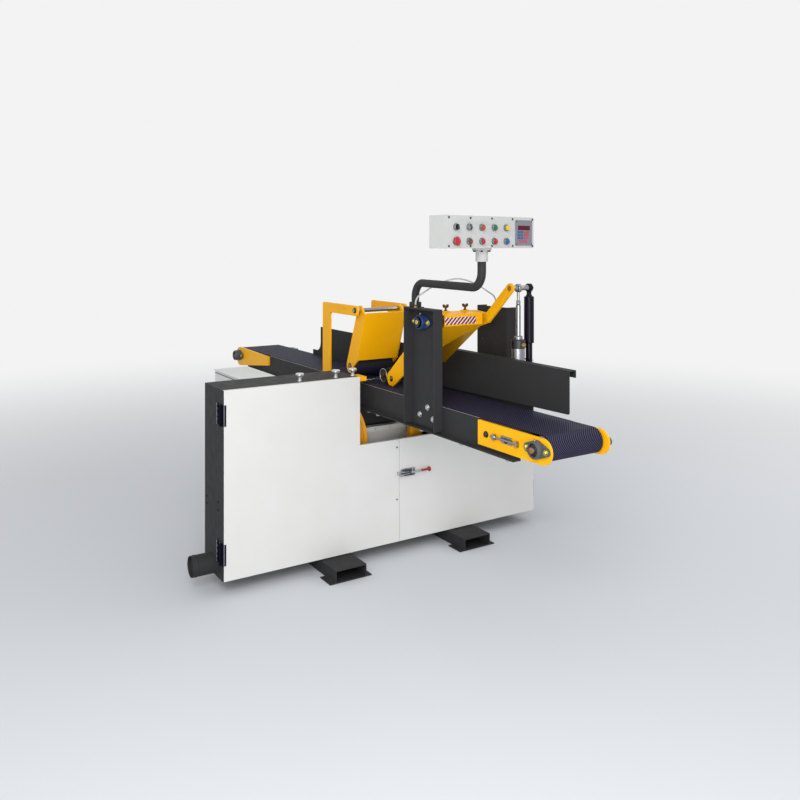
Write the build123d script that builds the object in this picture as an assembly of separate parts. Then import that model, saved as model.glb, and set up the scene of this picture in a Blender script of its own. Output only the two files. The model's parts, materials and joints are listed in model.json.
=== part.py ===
from build123d import *
import os
from math import tan, radians

# Horizontal band resaw: a band blade runs round two wheels in a low cabinet, and a lifting belt
# conveyor carries timber through the throat between the wheel towers, under two roller hold-downs.
# Millimetres. Machine axes: X runs along the cabinet with 0 at the conveyor's middle, Y is the feed
# direction with 0 at the door fronts, Z is up from the floor.

# Shared clearances
RUN_GAP = 0.3
BEARING_GAP = 0.05
SLIDE_GAP = 2.0

# Saw cabinet
CABINET_LENGTH = 2000.0
CABINET_DEPTH = 280.0
CABINET_TOP = 1004.0
THROAT_FLOOR = 637.0
THROAT_HALF = 238.0
SHEET = 5.0
BACK_THICKNESS = 12.0
CABINET_END = CABINET_LENGTH / 2
BACK_FRONT = CABINET_DEPTH - BACK_THICKNESS

# Feet, which are open-ended box tubes that a fork can enter, on short base plates
FOOT_HEIGHT = 66.0
FOOT_WIDTH = 180.0
FOOT_TAB = 32.0
FOOT_TAB_LENGTH = 112.0
FOOT_WALL = 6.0
FOOT_FRONT = -164.0
FOOT_BACK = 780.0
LEFT_FOOT_X = -382.0
RIGHT_FOOT_X = 432.0
ANCHOR_R = 7.0
ANCHOR_INSET = 40.0

# Doors, folded pans that hang on the cabinet's ends and meet at a seam
DOOR_THICKNESS = 20.0
DOOR_SKIN = 3.0
DOOR_SEAM_X = 12.0
DOOR_GAP = 2.0
DOOR_FLOOR_GAP = 5.0
DOOR_BOTTOM = FOOT_HEIGHT + DOOR_FLOOR_GAP
HINGE_R = 8.0
HINGE_OFFSET = 8.5
HINGE_LEAF = 5.0
HINGE_HEIGHT = 104.0
HINGE_WING = 60.0
UPPER_HINGE_Z = 829.0
LOWER_HINGE_Z = 149.0

# Toggle latch across the door seam
LATCH_Z = 448.0
LATCH_LENGTH = 94.0
LATCH_HEIGHT = 44.0
LATCH_PLATE = 4.0
LATCH_INSET = 8.0
LATCH_PIVOT_IN = 70.0
LATCH_PIVOT_OUT = 16.0
LATCH_EAR = 6.0
HANDLE_LENGTH = 118.0
HANDLE_R = 8.0
HANDLE_BLADE = 12.0
KEEPER_LENGTH = 14.0

# Band wheels and blade
WHEEL_R = 345.0
WHEEL_END_GAP = 170.0
WHEEL_TOP_GAP = 36.0
WHEEL_X = CABINET_END - WHEEL_END_GAP - WHEEL_R
WHEEL_Z = CABINET_TOP - WHEEL_TOP_GAP - WHEEL_R
WHEEL_Y = 105.0
RIM_WIDTH = 36.0
RIM_DEPTH = 22.0
WEB_THICKNESS = 20.0
WEB_HOLE_R = 62.0
WEB_HOLE_CIRCLE = 195.0
WEB_HOLES = 6
HUB_R = 62.0
HUB_WIDTH = 66.0
BLADE_WIDTH = 34.0
BLADE_THICKNESS = 1.2
WHEEL_SHAFT_R = 25.0
SHAFT_NOSE = 12.0
HOUSING_R = 68.0
HOUSING_FLANGE_R = 108.0
HOUSING_FLANGE = 18.0
HOUSING_GAP = 8.0

# Blade tension slide behind the idler wheel
TENSION_TRAVEL = 30.0
TENSION_HALF_X = 120.0
TENSION_HALF_Z = 95.0
TENSION_PLATE = 25.0
TENSION_RAIL = 28.0
TENSION_SCREW_R = 12.0
TENSION_LUG = 30.0
TENSION_LUG_GAP = 50.0
TENSION_SCREW_TAIL = 22.0

# Main motor and V belts
DRIVEN_PULLEY_R = 125.0
MOTOR_PULLEY_R = 70.0
BELT_COUNT = 3
V_BELT_WIDTH = 13.0
V_BELT_DEPTH = 10.0
V_BELT_PITCH = 19.0
PULLEY_BEHIND = 70.0
MOTOR_R = 105.0
MOTOR_LENGTH = 310.0
MOTOR_AXIS_ABOVE_FOOT = 144.0
MOTOR_PLATE = 12.0
MOTOR_PLATE_HALF = 150.0
MOTOR_SHAFT_R = 19.0
MOTOR_GAP = 18.0
TERMINAL_BOX = 105.0
TERMINAL_HEIGHT = 142.0
GUARD_WALL = 3.0
GUARD_CLEAR = 20.0

# Blade guide arms, clamped under the tower tops
GUIDE_WIDTH = 40.0
GUIDE_HEIGHT = 24.0
GUIDE_Y = 50.0
GUIDE_OUT = 58.0
GUIDE_IN = 382.0
GUIDE_HEAD = 36.0
GUIDE_BLADE_GAP = 1.6
GUIDE_TRAVEL = 40.0
KNOB_X = (-571.0, -359.0, -256.0)
KNOB_STUD_R = 5.0
KNOB_R = 23.0
KNOB_HEIGHT = 18.0
KNOB_NECK = 26.0
KNOB_NUT_R = 9.0
KNOB_NUT = 10.0

# Dust outlet on the left end
DUST_Y = 141.0
DUST_Z = 124.0
DUST_R = 52.0
DUST_WALL = 3.0
DUST_LENGTH = 120.0

# Conveyor belt, drums and side rails
BELT_WIDTH = 290.0
BELT_THICKNESS = 5.0
BELT_TOP = 947.0
DRUM_R = 50.0
INFEED_DRUM_Y = -1327.0
OUTFEED_DRUM_Y = 1940.0
DRUM_SHAFT_R = 12.5
DRUM_EDGE_GAP = 2.0
RAIL_GAP = 2.0
RAIL_WEB = 8.0
RAIL_HEIGHT = 132.0
RAIL_FLANGE = 35.0
RAIL_FLANGE_T = 6.0
RAIL_DROP = 2.0
RAIL_END_GAP = 127.0
RAIL_NOTCH_SIDE = 25.0
FLANGE_BOLTS = (-1150.0, -824.0, -500.0, -82.0, 14.0, 620.0, 1020.0, 1420.0)
BED_THICKNESS = 5.5
BED_END_GAP = 22.0
CROSS_COUNT = 8
CROSS_WIDTH = 60.0
CROSS_HEIGHT = 40.0
CROSS_INSET = 180.0
END_PLATE = 12.0
END_PLATE_DROP = 7.0
END_PLATE_HEIGHT = 108.0
END_PLATE_TAIL = 392.0
END_PLATE_NOSE = 76.0
OUTFEED_PLATE_TAIL = 535.0
OUTFEED_TAIL_HEIGHT = 60.0
OUTFEED_TAIL_R = 3.0
OUTFEED_NOSE_R = 68.0
OUTFEED_NOSE_DROP = 9.0
OUTFEED_FAR_DROP = 13.0
BEARING_FLANGE = 12.0
BEARING_HUB = 18.0
BEARING_HUB_R = 38.0
BEARING_SPAN = 150.0
BEARING_EAR_R = 17.0
PIVOT_BEARING_SCALE = 1.04
SHAFT_STUB = 8.0
GEARBOX_WIDTH = 90.0
GEARBOX_HALF_Y = 55.0
GEARBOX_ABOVE = 21.0
GEARBOX_BELOW = 145.0
FEED_MOTOR_R = 58.0
FEED_MOTOR_LENGTH = 240.0
FEED_MOTOR_OVERHANG = 22.0
TORQUE_ARM = 20.0

# Lift, a screw jack and ram in a housing under the conveyor
HOUSING_HALF_X = 173.0
HOUSING_FRONT = 165.0
HOUSING_BACK = 475.0
HOUSING_BOTTOM = 300.0
HOUSING_TOP = 684.0
HOUSING_LID = 28.0
HOUSING_LID_OUT = 6.0
RAM_HALF_X = 120.0
RAM_WALL = 6.0
RAM_MARGIN_Y = 50.0
RAM_BOTTOM = 470.0
RAM_HEAD = 12.0
RAM_HEAD_HALF_X = 185.0
SCREW_R = 20.0
SCREW_BOTTOM = 330.0
JACK_HALF = 60.0
JACK_HEIGHT = 66.0
JACK_TUBE_R = 28.0
JACK_TUBE_WALL = 5.0
JACK_TUBE_LENGTH = 215.0
JACK_SHAFT_R = 9.0
JACK_SHAFT_UP = 14.0
JACK_MOTOR_R = 45.0
JACK_MOTOR_LENGTH = 165.0

# Electrical cabinet behind the left tower
ELECTRIC_INSET = 200.0
ELECTRIC_WIDTH = 190.0
ELECTRIC_LENGTH = 400.0
ELECTRIC_DROP = 4.0
ELECTRIC_HEIGHT = 650.0
ELECTRIC_WALL = 4.0
ELECTRIC_LIP = 6.0

# Posts that carry the infeed hold-down
POST_FRONT = -648.0
POST_BACK = -382.0
FAR_POST_BACK = -408.0
POST_TOP = 1400.0
POST_BOTTOM = 827.0
POST_PLATE = 8.0
POST_FLANGE = 42.0
FAR_POST_X = 240.0
FAR_POST_FLANGE = 52.0
POST_CAP = 8.0
POST_CAP_IN = 22.0
POST_BRACKET_TOP = 935.0

# Infeed hold-down
PIVOT_Y = -495.0
PIVOT_Z = 1338.0
PIVOT_R = 20.0
FRONT_ROLLER_Y = 20.0
FRONT_ROLLER_Z = 997.0
FRONT_ROLLER_R = 39.0
FRONT_AXLE_R = 12.0
ARM_X = 70.0
ARM_PLATE = 10.0
ARM_END_R = 42.0
ARM_EYE_Y = -65.0
ARM_EYE_Z = 990.0
LINK_X = 58.0
LINK_PLATE = 8.0
LINK_R = 22.0
ARM_EYE_SINE = 0.8
ARM_EYE_COSINE = 0.6
COVER_SHARE = 0.62
COVER_HALF_X = 115.0
COVER_PLATE = 6.0
ROLLER_END_X = 80.0
ROLLER_GAP = 4.0
LEVER_X = 150.0
LEVER_PLATE = 12.0
LEVER_HUB_R = 45.0
LEVER_END_R = 24.0
LEVER_PIN_Y = -775.0
LEVER_PIN_Z = 1506.0
LEVER_PIN_R = 9.0
PIN_PLAY = 4.0

# Air cylinder and damper beside the far post
CYLINDER_X = 206.0
DAMPER_X = 275.0
STRUT_FOOT_Z = 900.0
STRUT_PIN_R = 8.0
STRUT_EYE_R = 17.0
STRUT_EYE_T = 20.0
STRUT_NECK = 25.0
CYLINDER_R = 32.0
CYLINDER_WALL = 4.0
CYLINDER_TUBE_TOP = 1219.0
CYLINDER_HEAD = 56.0
CYLINDER_ROD_R = 12.0
PISTON_Z = 1150.0
PISTON_HEIGHT = 25.0
DAMPER_R = 16.5
DAMPER_TUBE_TOP = 1300.0
DAMPER_BORE_R = 9.5
DAMPER_ROD_R = 5.0
DAMPER_ROD_BOTTOM = 1100.0
SLEEVE_R = 24.5
SLEEVE_WALL = 3.0
SLEEVE_BOTTOM = 1236.0
SLEEVE_TOP = 1465.0
SLEEVE_NECK_R = 13.0
STRUT_BRACKET = 12.0
STRUT_BRACKET_HALF_Y = 40.0

# Outfeed hold-down
REAR_PIVOT_Y = 185.0
REAR_PIVOT_Z = 1346.0
REAR_PIVOT_R = 12.0
REAR_ROLLER_Y = 300.0
REAR_ROLLER_Z = 1016.0
REAR_ROLLER_R = 64.0
REAR_SIDE_X = 125.0
REAR_PLATE = 10.0
REAR_FRONT_TOP = (117.0, 1332.0)
REAR_FRONT_BOTTOM = (212.0, 1058.0)
REAR_BACK_TOP = (225.0, 1311.0)
REAR_BACK_BOTTOM = (338.0, 1030.0)
REAR_EYE_R = 38.0
REAR_NOSE_R = 26.0
BRACKET_PLATE = 12.0
BRACKET_TOP = 1372.0
BRACKET_ARM = 57.0
BRACKET_FRONT = 158.0
NEAR_BRACKET_BACK = 582.0
NEAR_BRACKET_POST = 490.0
FAR_BRACKET_BACK = 553.0
FAR_BRACKET_POST = 255.0
BRACKET_POST_WIDTH = 92.0
BRACKET_BOTTOM = 835.0
BRACKET_CORNER = 14.0

# Fences along the far side
FENCE_PLATE = 5.0
INFEED_FENCE = (-1202.0, 70.0)
INFEED_FENCE_X = 127.0
INFEED_FENCE_BOTTOM = 974.0
INFEED_FENCE_HEEL = 952.0
INFEED_FENCE_R = 10.0
INFEED_FENCE_TOP = 1166.5
INFEED_FLANGE = 38.0
FENCE_LIP = 34.0
CARRIER = (-934.0, 70.0)
CARRIER_BOTTOM = 940.0
CARRIER_RISE = 26.0
INFEED_BAR_FOOT = max(INFEED_FENCE_BOTTOM, INFEED_FENCE_HEEL)
CARRIER_TOP = INFEED_BAR_FOOT + CARRIER_RISE
OUTFEED_FENCE = (165.0, 1239.0)
OUTFEED_FENCE_BOTTOM = 945.5
OUTFEED_FENCE_TOP = 1145.0
OUTFEED_TOE = 118.0
OUTFEED_TOE_HEIGHT = 32.5
OUTFEED_TOE_R = 60.0
INFEED_BARS = (-890.0, -700.0, -250.0)
OUTFEED_BARS = (700.0, 1150.0)
FENCE_BAR_WIDTH = 50.0
FENCE_BAR_BOTTOM = 850.0
FENCE_BAR_TOP = 1070.0

# Control arm and box
TUBE_R = 19.0
TUBE_BASE = (-165.0, -429.0)
TUBE_HEAD = (-204.0, -1010.0)
TUBE_RUN_Z = 1529.0
TUBE_BEND = 72.0
TUBE_COLLAR_R = 30.0
TUBE_COLLAR = 24.0
BOX_TURN = 9.8
BOX_LEFT = -472.0
BOX_LENGTH = 560.0
BOX_FRONT = -1062.0
BOX_DEPTH = 104.0
BOX_BOTTOM = 1702.0
BOX_HEIGHT = 138.0
BOX_WALL = 2.5
SWIVEL_R = 27.0
SWIVEL_LENGTH = 58.0
SWIVEL_SOCKET = 42.0
SWIVEL_FLANGE_R = 42.0
SWIVEL_FLANGE = 9.0
BUTTON_COLUMNS = (50.0, 129.0, 208.0, 287.0, 366.0)
BUTTON_ROW_DOWN = (49.0, 108.0)
BUTTON_R = 12.0
BUTTON_OUT = 12.0
BUTTON_STEM_R = 8.0
BUTTON_STEM = 22.0
BUTTON_GAP = 0.5
STOP_R = 19.0
SELECTOR_BOSS = 8.0
SELECTOR_BAR = 12.0
SELECTOR_BAR_HALF = 4.0
SELECTOR_BAR_REACH = 10.8
BUTTON_TRAVEL = 4.0

# Air hose that arches between the posts
HOSE_R = 4.0
ARC_SHARE = 0.45
FITTING_R = 8.0
FITTING_HEIGHT = 14.0

# Fasteners
BOLT_HEX = 22.0
BOLT_HEAD = 9.0
INFEED_BOLTS = (59.0, 198.0)
POST_BOLTS = ((-468.0, 880.0), (-535.0, 924.0), (-582.0, 874.0), (-625.0, 918.0))

# Levels and planes that follow from the sizes above
DRUM_Z = BELT_TOP - BELT_THICKNESS - RUN_GAP - DRUM_R
RAIL_IN = BELT_WIDTH / 2 + RAIL_GAP
RAIL_OUT = RAIL_IN + RAIL_WEB
RAIL_TOP = BELT_TOP - RAIL_DROP
RAIL_BOTTOM = RAIL_TOP - RAIL_HEIGHT
PLATE_TOP = BELT_TOP - END_PLATE_DROP
PLATE_BOTTOM = PLATE_TOP - END_PLATE_HEIGHT
PLATE_OUT = RAIL_OUT + END_PLATE
BEARING_OUT = PLATE_OUT + BEARING_FLANGE + BEARING_HUB
POST_OUT = RAIL_OUT + POST_PLATE
FAR_POST_OUT = FAR_POST_X + POST_PLATE
RAM_TOP = RAIL_BOTTOM - RAM_HEAD
HOUSING_MID_Y = (HOUSING_FRONT + HOUSING_BACK) / 2
SHAFT_FRONT = WHEEL_Y - HUB_WIDTH / 2 - SHAFT_NOSE
HOUSING_NOSE = WHEEL_Y + HUB_WIDTH / 2 + HOUSING_GAP
PULLEY_FRONT = CABINET_DEPTH + PULLEY_BEHIND
PULLEY_WIDTH = BELT_COUNT * V_BELT_PITCH
PULLEY_BACK = PULLEY_FRONT + PULLEY_WIDTH
MOTOR_FRONT = PULLEY_BACK + GUARD_CLEAR + MOTOR_GAP
MOTOR_Z = FOOT_HEIGHT + MOTOR_AXIS_ABOVE_FOOT
BOX_TOP = BOX_BOTTOM + BOX_HEIGHT
TUBE_TOP = BOX_BOTTOM - SWIVEL_LENGTH + SWIVEL_SOCKET
POST_CAP_TOP = POST_TOP + POST_CAP
STRUT_TUBE_Z = STRUT_FOOT_Z + STRUT_NECK
HINGE_X = CABINET_END + HINGE_OFFSET
HINGE_Y = DOOR_THICKNESS

# The finished part is moved so that its origin is the middle of its box, on the floor
REACH_LEFT = -(CABINET_END + DUST_LENGTH)
REACH_RIGHT = HINGE_X + HINGE_R
REACH_FRONT = INFEED_DRUM_Y - END_PLATE_NOSE
REACH_BACK = OUTFEED_DRUM_Y + BEARING_SPAN / 2
ORIGIN = Vector((REACH_LEFT + REACH_RIGHT) / 2, (REACH_FRONT + REACH_BACK) / 2, 0)

# A round bar stands on its first end
STANDING = (Align.CENTER, Align.CENTER, Align.MIN)

# The hose's route, in machine axes
HOSE_ROUTE = [
    (-191, -470, POST_CAP_TOP + FITTING_HEIGHT),
    (-191, -470, 1454),
    (-150, -478, 1480),
    (-97, -489, 1512),
    (-34, -502, 1537),
    (27, -514, 1549),
    (87, -526, 1538),
    (148, -539, 1512),
    (203, -550, 1476),
    (FAR_POST_X + POST_PLATE / 2, -558, 1450),
    (FAR_POST_X + POST_PLATE / 2, -558, POST_TOP + FITTING_HEIGHT),
]


def block(x, y, z):
    """A box between the limits given for each axis."""
    spans = [limits[1] - limits[0] for limits in (x, y, z)]
    middle = [(limits[0] + limits[1]) / 2 for limits in (x, y, z)]
    return Pos(*middle) * Box(*spans)


def along_x(x, y, z, r):
    """A round bar along X between two limits."""
    return Pos(x[0], y, z) * Rot(0, 90, 0) * Cylinder(r, x[1] - x[0], align=STANDING)


def along_y(x, y, z, r):
    """A round bar along Y between two limits."""
    return Pos(x, y[0], z) * Rot(-90, 0, 0) * Cylinder(r, y[1] - y[0], align=STANDING)


def along_z(x, y, z, r):
    """A round bar along Z between two limits."""
    return Pos(x, y, z[0]) * Cylinder(r, z[1] - z[0], align=STANDING)


def side_plate(face, x):
    """A flat face drawn in Y and Z, carried along X between two limits."""
    plane = Plane(origin=(x[0], 0, 0), x_dir=(0, 1, 0), z_dir=(1, 0, 0))
    return extrude(plane * face, x[1] - x[0], dir=(1, 0, 0))


def front_plate(face, y):
    """A flat face drawn in X and Z, carried along Y between two limits."""
    plane = Plane(origin=(0, y[0], 0), x_dir=(1, 0, 0), z_dir=(0, -1, 0))
    return extrude(plane * face, y[1] - y[0], dir=(0, 1, 0))


def polygon(*points):
    """A face inside straight edges."""
    return make_face(Polyline(*points, close=True))


def disc(centre, r):
    """A round face at a point."""
    return Pos(*centre) * Circle(r)


def taut(first, first_r, second, second_r):
    """The face inside a band pulled tight round two circles."""
    return make_hull((disc(first, first_r) + disc(second, second_r)).edges())


def mirrored(shape):
    """The same piece on the other side of the conveyor's middle."""
    return mirror(shape, about=Plane.YZ)


def group(*pieces):
    """Separate solids that share one node."""
    solids = [solid for piece in pieces for solid in piece.solids()]
    return Compound(children=solids)


def foot(x):
    """One box-tube foot with a base plate across each end, and four anchor holes in the plates."""
    half = FOOT_WIDTH / 2
    wide = half + FOOT_TAB
    length = (FOOT_FRONT, FOOT_BACK)
    body = block((x - half, x + half), length, (0, FOOT_HEIGHT))
    for y in ((FOOT_FRONT, FOOT_FRONT + FOOT_TAB_LENGTH), (FOOT_BACK - FOOT_TAB_LENGTH, FOOT_BACK)):
        body += block((x - wide, x + wide), y, (0, FOOT_WALL))
    inner = half - FOOT_WALL
    body -= block((x - inner, x + inner), length, (FOOT_WALL, FOOT_HEIGHT - FOOT_WALL))
    for side in (-1, 1):
        for y in (FOOT_FRONT + ANCHOR_INSET, FOOT_BACK - ANCHOR_INSET):
            body -= along_z(x + side * (half + FOOT_TAB / 2), y, (0, FOOT_WALL), ANCHOR_R)
    return body


def feet():
    return group(foot(LEFT_FOOT_X), foot(RIGHT_FOOT_X))


def cabinet_frame():
    """End, top and bottom sheets of the saw cabinet."""
    deep = (DOOR_THICKNESS, BACK_FRONT)
    inside = CABINET_END - SHEET
    left_end = block((-CABINET_END, -inside), deep, (FOOT_HEIGHT, CABINET_TOP))
    right_end = mirrored(left_end)
    left_end -= along_x((-CABINET_END, -inside), DUST_Y, DUST_Z, DUST_R - DUST_WALL)
    tops = block((-inside, -THROAT_HALF), deep, (CABINET_TOP - SHEET, CABINET_TOP))
    right_top = mirrored(tops)
    for x in KNOB_X:
        tops -= along_z(x, GUIDE_Y, (CABINET_TOP - SHEET, CABINET_TOP), KNOB_STUD_R + RUN_GAP)
    bottom = block((-inside, inside), deep, (FOOT_HEIGHT, FOOT_HEIGHT + SHEET))
    return group(left_end, right_end, tops, right_top, bottom)


def back_plate():
    """The main plate that carries the wheels, cut down at the throat for the lift housing."""
    outline = polygon(
        (-CABINET_END, FOOT_HEIGHT), (CABINET_END, FOOT_HEIGHT), (CABINET_END, CABINET_TOP),
        (THROAT_HALF, CABINET_TOP), (THROAT_HALF, THROAT_FLOOR), (HOUSING_HALF_X, THROAT_FLOOR),
        (HOUSING_HALF_X, HOUSING_BOTTOM), (-HOUSING_HALF_X, HOUSING_BOTTOM),
        (-HOUSING_HALF_X, THROAT_FLOOR), (-THROAT_HALF, THROAT_FLOOR),
        (-THROAT_HALF, CABINET_TOP), (-CABINET_END, CABINET_TOP),
    )
    outline -= disc((WHEEL_X, WHEEL_Z), HOUSING_R)
    outline -= taut((-WHEEL_X, WHEEL_Z), HOUSING_R + RUN_GAP,
                    (-WHEEL_X + TENSION_TRAVEL, WHEEL_Z), HOUSING_R + RUN_GAP)
    plate = front_plate(outline, (BACK_FRONT, CABINET_DEPTH))
    rail_y = (CABINET_DEPTH, CABINET_DEPTH + TENSION_PLATE)
    rail_x = (-WHEEL_X - TENSION_HALF_X, -WHEEL_X + TENSION_HALF_X + TENSION_TRAVEL)
    near_z = TENSION_HALF_Z + RUN_GAP
    rails = [
        block(rail_x, rail_y, (WHEEL_Z + near_z, WHEEL_Z + near_z + TENSION_RAIL)),
        block(rail_x, rail_y, (WHEEL_Z - near_z - TENSION_RAIL, WHEEL_Z - near_z)),
    ]
    lug_x = -WHEEL_X + TENSION_HALF_X + TENSION_LUG_GAP
    lug = block((lug_x, lug_x + TENSION_LUG), rail_y, (WHEEL_Z - TENSION_LUG, WHEEL_Z + TENSION_LUG))
    screw_y = CABINET_DEPTH + TENSION_PLATE / 2
    lug -= along_x((lug_x, lug_x + TENSION_LUG), screw_y, WHEEL_Z, TENSION_SCREW_R + BEARING_GAP)
    return group(plate, *rails, lug)


def dust_port():
    """Round outlet that a hose slips over."""
    x = (-CABINET_END - DUST_LENGTH, -CABINET_END)
    tube = along_x(x, DUST_Y, DUST_Z, DUST_R) - along_x(x, DUST_Y, DUST_Z, DUST_R - DUST_WALL)
    return tube


def lift_housing():
    """Grey box under the conveyor, with a deep lid that the ram slides through."""
    x = (-HOUSING_HALF_X, HOUSING_HALF_X)
    y = (HOUSING_FRONT, HOUSING_BACK)
    box = block(x, y, (HOUSING_BOTTOM, HOUSING_TOP))
    lid_x = (x[0] - HOUSING_LID_OUT, x[1] + HOUSING_LID_OUT)
    lid_y = (y[0] - HOUSING_LID_OUT, y[1] + HOUSING_LID_OUT)
    box += block(lid_x, lid_y, (HOUSING_TOP - HOUSING_LID, HOUSING_TOP))
    box -= block((x[0] + SHEET, x[1] - SHEET), (y[0] + SHEET, y[1] - SHEET),
                 (HOUSING_BOTTOM + SHEET, HOUSING_TOP - SHEET))
    window = RAM_HALF_X + SLIDE_GAP
    ram_y = (HOUSING_FRONT + RAM_MARGIN_Y - SLIDE_GAP, HOUSING_BACK - RAM_MARGIN_Y + SLIDE_GAP)
    box -= block((-window, window), ram_y, (HOUSING_TOP - SHEET, HOUSING_TOP))
    box -= along_z(0, HOUSING_MID_Y, (HOUSING_BOTTOM, HOUSING_BOTTOM + SHEET), JACK_TUBE_R)
    shaft_z = HOUSING_BOTTOM + SHEET + JACK_SHAFT_UP
    box -= along_y(0, (HOUSING_BACK - SHEET, HOUSING_BACK), shaft_z, JACK_SHAFT_R)
    return box


def screw_jack():
    """Jack body, its screw tube, and its motor behind the housing."""
    floor = HOUSING_BOTTOM + SHEET
    y = HOUSING_MID_Y
    body = block((-JACK_HALF, JACK_HALF), (y - JACK_HALF, y + JACK_HALF), (floor, floor + JACK_HEIGHT))
    tube_end = floor - JACK_TUBE_LENGTH
    body += along_z(0, y, (tube_end, floor), JACK_TUBE_R)
    body -= along_z(0, y, (tube_end + JACK_TUBE_WALL, floor), JACK_TUBE_R - JACK_TUBE_WALL)
    body -= along_z(0, y, (floor, floor + JACK_HEIGHT), SCREW_R + BEARING_GAP)
    shaft_z = floor + JACK_SHAFT_UP
    body += along_y(0, (y + JACK_HALF, HOUSING_BACK), shaft_z, JACK_SHAFT_R)
    body += along_y(0, (HOUSING_BACK, HOUSING_BACK + JACK_MOTOR_LENGTH), shaft_z, JACK_MOTOR_R)
    return body


def lift_ram():
    """Sliding box under the rails, with the jack's screw hanging in it."""
    y = (HOUSING_FRONT + RAM_MARGIN_Y, HOUSING_BACK - RAM_MARGIN_Y)
    ram = block((-RAM_HALF_X, RAM_HALF_X), y, (RAM_BOTTOM, RAM_TOP))
    hollow = RAM_HALF_X - RAM_WALL
    ram -= block((-hollow, hollow), (y[0] + RAM_WALL, y[1] - RAM_WALL), (RAM_BOTTOM, RAM_TOP))
    head_x = (-RAM_HEAD_HALF_X, RAM_HEAD_HALF_X)
    head = block(head_x, (HOUSING_FRONT, HOUSING_BACK), (RAM_TOP, RAIL_BOTTOM))
    screw = along_z(0, HOUSING_MID_Y, (SCREW_BOTTOM, RAM_TOP), SCREW_R)
    return group(ram, head, screw)


def electrical_cabinet():
    """Hollow switch cabinet on the back plate, with an overhanging lid."""
    wall = ELECTRIC_WALL
    left = ELECTRIC_INSET - CABINET_END
    x = (left, left + ELECTRIC_WIDTH)
    y = (CABINET_DEPTH, CABINET_DEPTH + ELECTRIC_LENGTH)
    top = CABINET_TOP - ELECTRIC_DROP
    z = (top - ELECTRIC_HEIGHT, top)
    case = block(x, y, z)
    case -= block((x[0], x[1] - wall), (y[0] + wall, y[1] - wall), (z[0] + wall, z[1] - wall))
    door = block((x[0] - wall, x[0]), y, z)
    lid_x = (x[0] - wall - ELECTRIC_LIP, x[1] + ELECTRIC_LIP)
    lid = block(lid_x, (y[0], y[1] + ELECTRIC_LIP), (top, top + wall))
    return group(case, door, lid)


def wheel(x, bore_r):
    """Band wheel: rim, pierced web and hub."""
    rim_y = (WHEEL_Y - RIM_WIDTH / 2, WHEEL_Y + RIM_WIDTH / 2)
    web_y = (WHEEL_Y - WEB_THICKNESS / 2, WHEEL_Y + WEB_THICKNESS / 2)
    hub_y = (WHEEL_Y - HUB_WIDTH / 2, WHEEL_Y + HUB_WIDTH / 2)
    centre = (x, WHEEL_Z)
    rim = front_plate(disc(centre, WHEEL_R) - disc(centre, WHEEL_R - RIM_DEPTH), rim_y)
    holes = Pos(*centre) * PolarLocations(WEB_HOLE_CIRCLE, WEB_HOLES) * Circle(WEB_HOLE_R)
    web = front_plate(disc(centre, WHEEL_R - RIM_DEPTH) - holes, web_y)
    hub = front_plate(disc(centre, HUB_R), hub_y)
    return rim + web + hub - along_y(x, hub_y, WHEEL_Z, bore_r)


def drive_wheel():
    return wheel(WHEEL_X, WHEEL_SHAFT_R)


def idler_wheel():
    return wheel(-WHEEL_X, WHEEL_SHAFT_R + BEARING_GAP)


def drive_shaft():
    """Wheel shaft and the driven pulley on its back end."""
    shaft = along_y(WHEEL_X, (SHAFT_FRONT, PULLEY_BACK), WHEEL_Z, WHEEL_SHAFT_R)
    pulley = along_y(WHEEL_X, (PULLEY_FRONT, PULLEY_BACK), WHEEL_Z, DRIVEN_PULLEY_R)
    return shaft + pulley


def arbor_housing():
    """Flanged bearing housing of the drive shaft, through the back plate."""
    y = (HOUSING_NOSE, CABINET_DEPTH + HOUSING_FLANGE)
    body = along_y(WHEEL_X, y, WHEEL_Z, HOUSING_R)
    body += along_y(WHEEL_X, (CABINET_DEPTH, y[1]), WHEEL_Z, HOUSING_FLANGE_R)
    return body - along_y(WHEEL_X, y, WHEEL_Z, WHEEL_SHAFT_R + BEARING_GAP)


def tension_slide():
    """Carriage, idler shaft and pulling screw."""
    x = -WHEEL_X
    y = (CABINET_DEPTH + RUN_GAP, CABINET_DEPTH + TENSION_PLATE)
    body = block((x - TENSION_HALF_X, x + TENSION_HALF_X), y,
                 (WHEEL_Z - TENSION_HALF_Z, WHEEL_Z + TENSION_HALF_Z))
    body += along_y(x, (HOUSING_NOSE, y[0]), WHEEL_Z, HOUSING_R)
    body += along_y(x, (SHAFT_FRONT, HOUSING_NOSE), WHEEL_Z, WHEEL_SHAFT_R)
    screw_end = x + TENSION_HALF_X + TENSION_LUG_GAP + TENSION_LUG + TENSION_SCREW_TAIL
    screw_y = CABINET_DEPTH + TENSION_PLATE / 2
    body += along_x((x + TENSION_HALF_X, screw_end), screw_y, WHEEL_Z, TENSION_SCREW_R)
    return body


def band_blade():
    """Endless band round both wheels."""
    inner = WHEEL_R + RUN_GAP
    outer = inner + BLADE_THICKNESS
    loop = SlotCenterToCenter(2 * WHEEL_X, 2 * outer) - SlotCenterToCenter(2 * WHEEL_X, 2 * inner)
    return front_plate(Pos(0, WHEEL_Z) * loop, (WHEEL_Y - BLADE_WIDTH / 2, WHEEL_Y + BLADE_WIDTH / 2))


def motor_pulley():
    """Motor pulley on the motor's own shaft."""
    pulley = along_y(RIGHT_FOOT_X, (PULLEY_FRONT, PULLEY_BACK), MOTOR_Z, MOTOR_PULLEY_R)
    return pulley + along_y(RIGHT_FOOT_X, (PULLEY_BACK, MOTOR_FRONT + MOTOR_R), MOTOR_Z, MOTOR_SHAFT_R)


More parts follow.
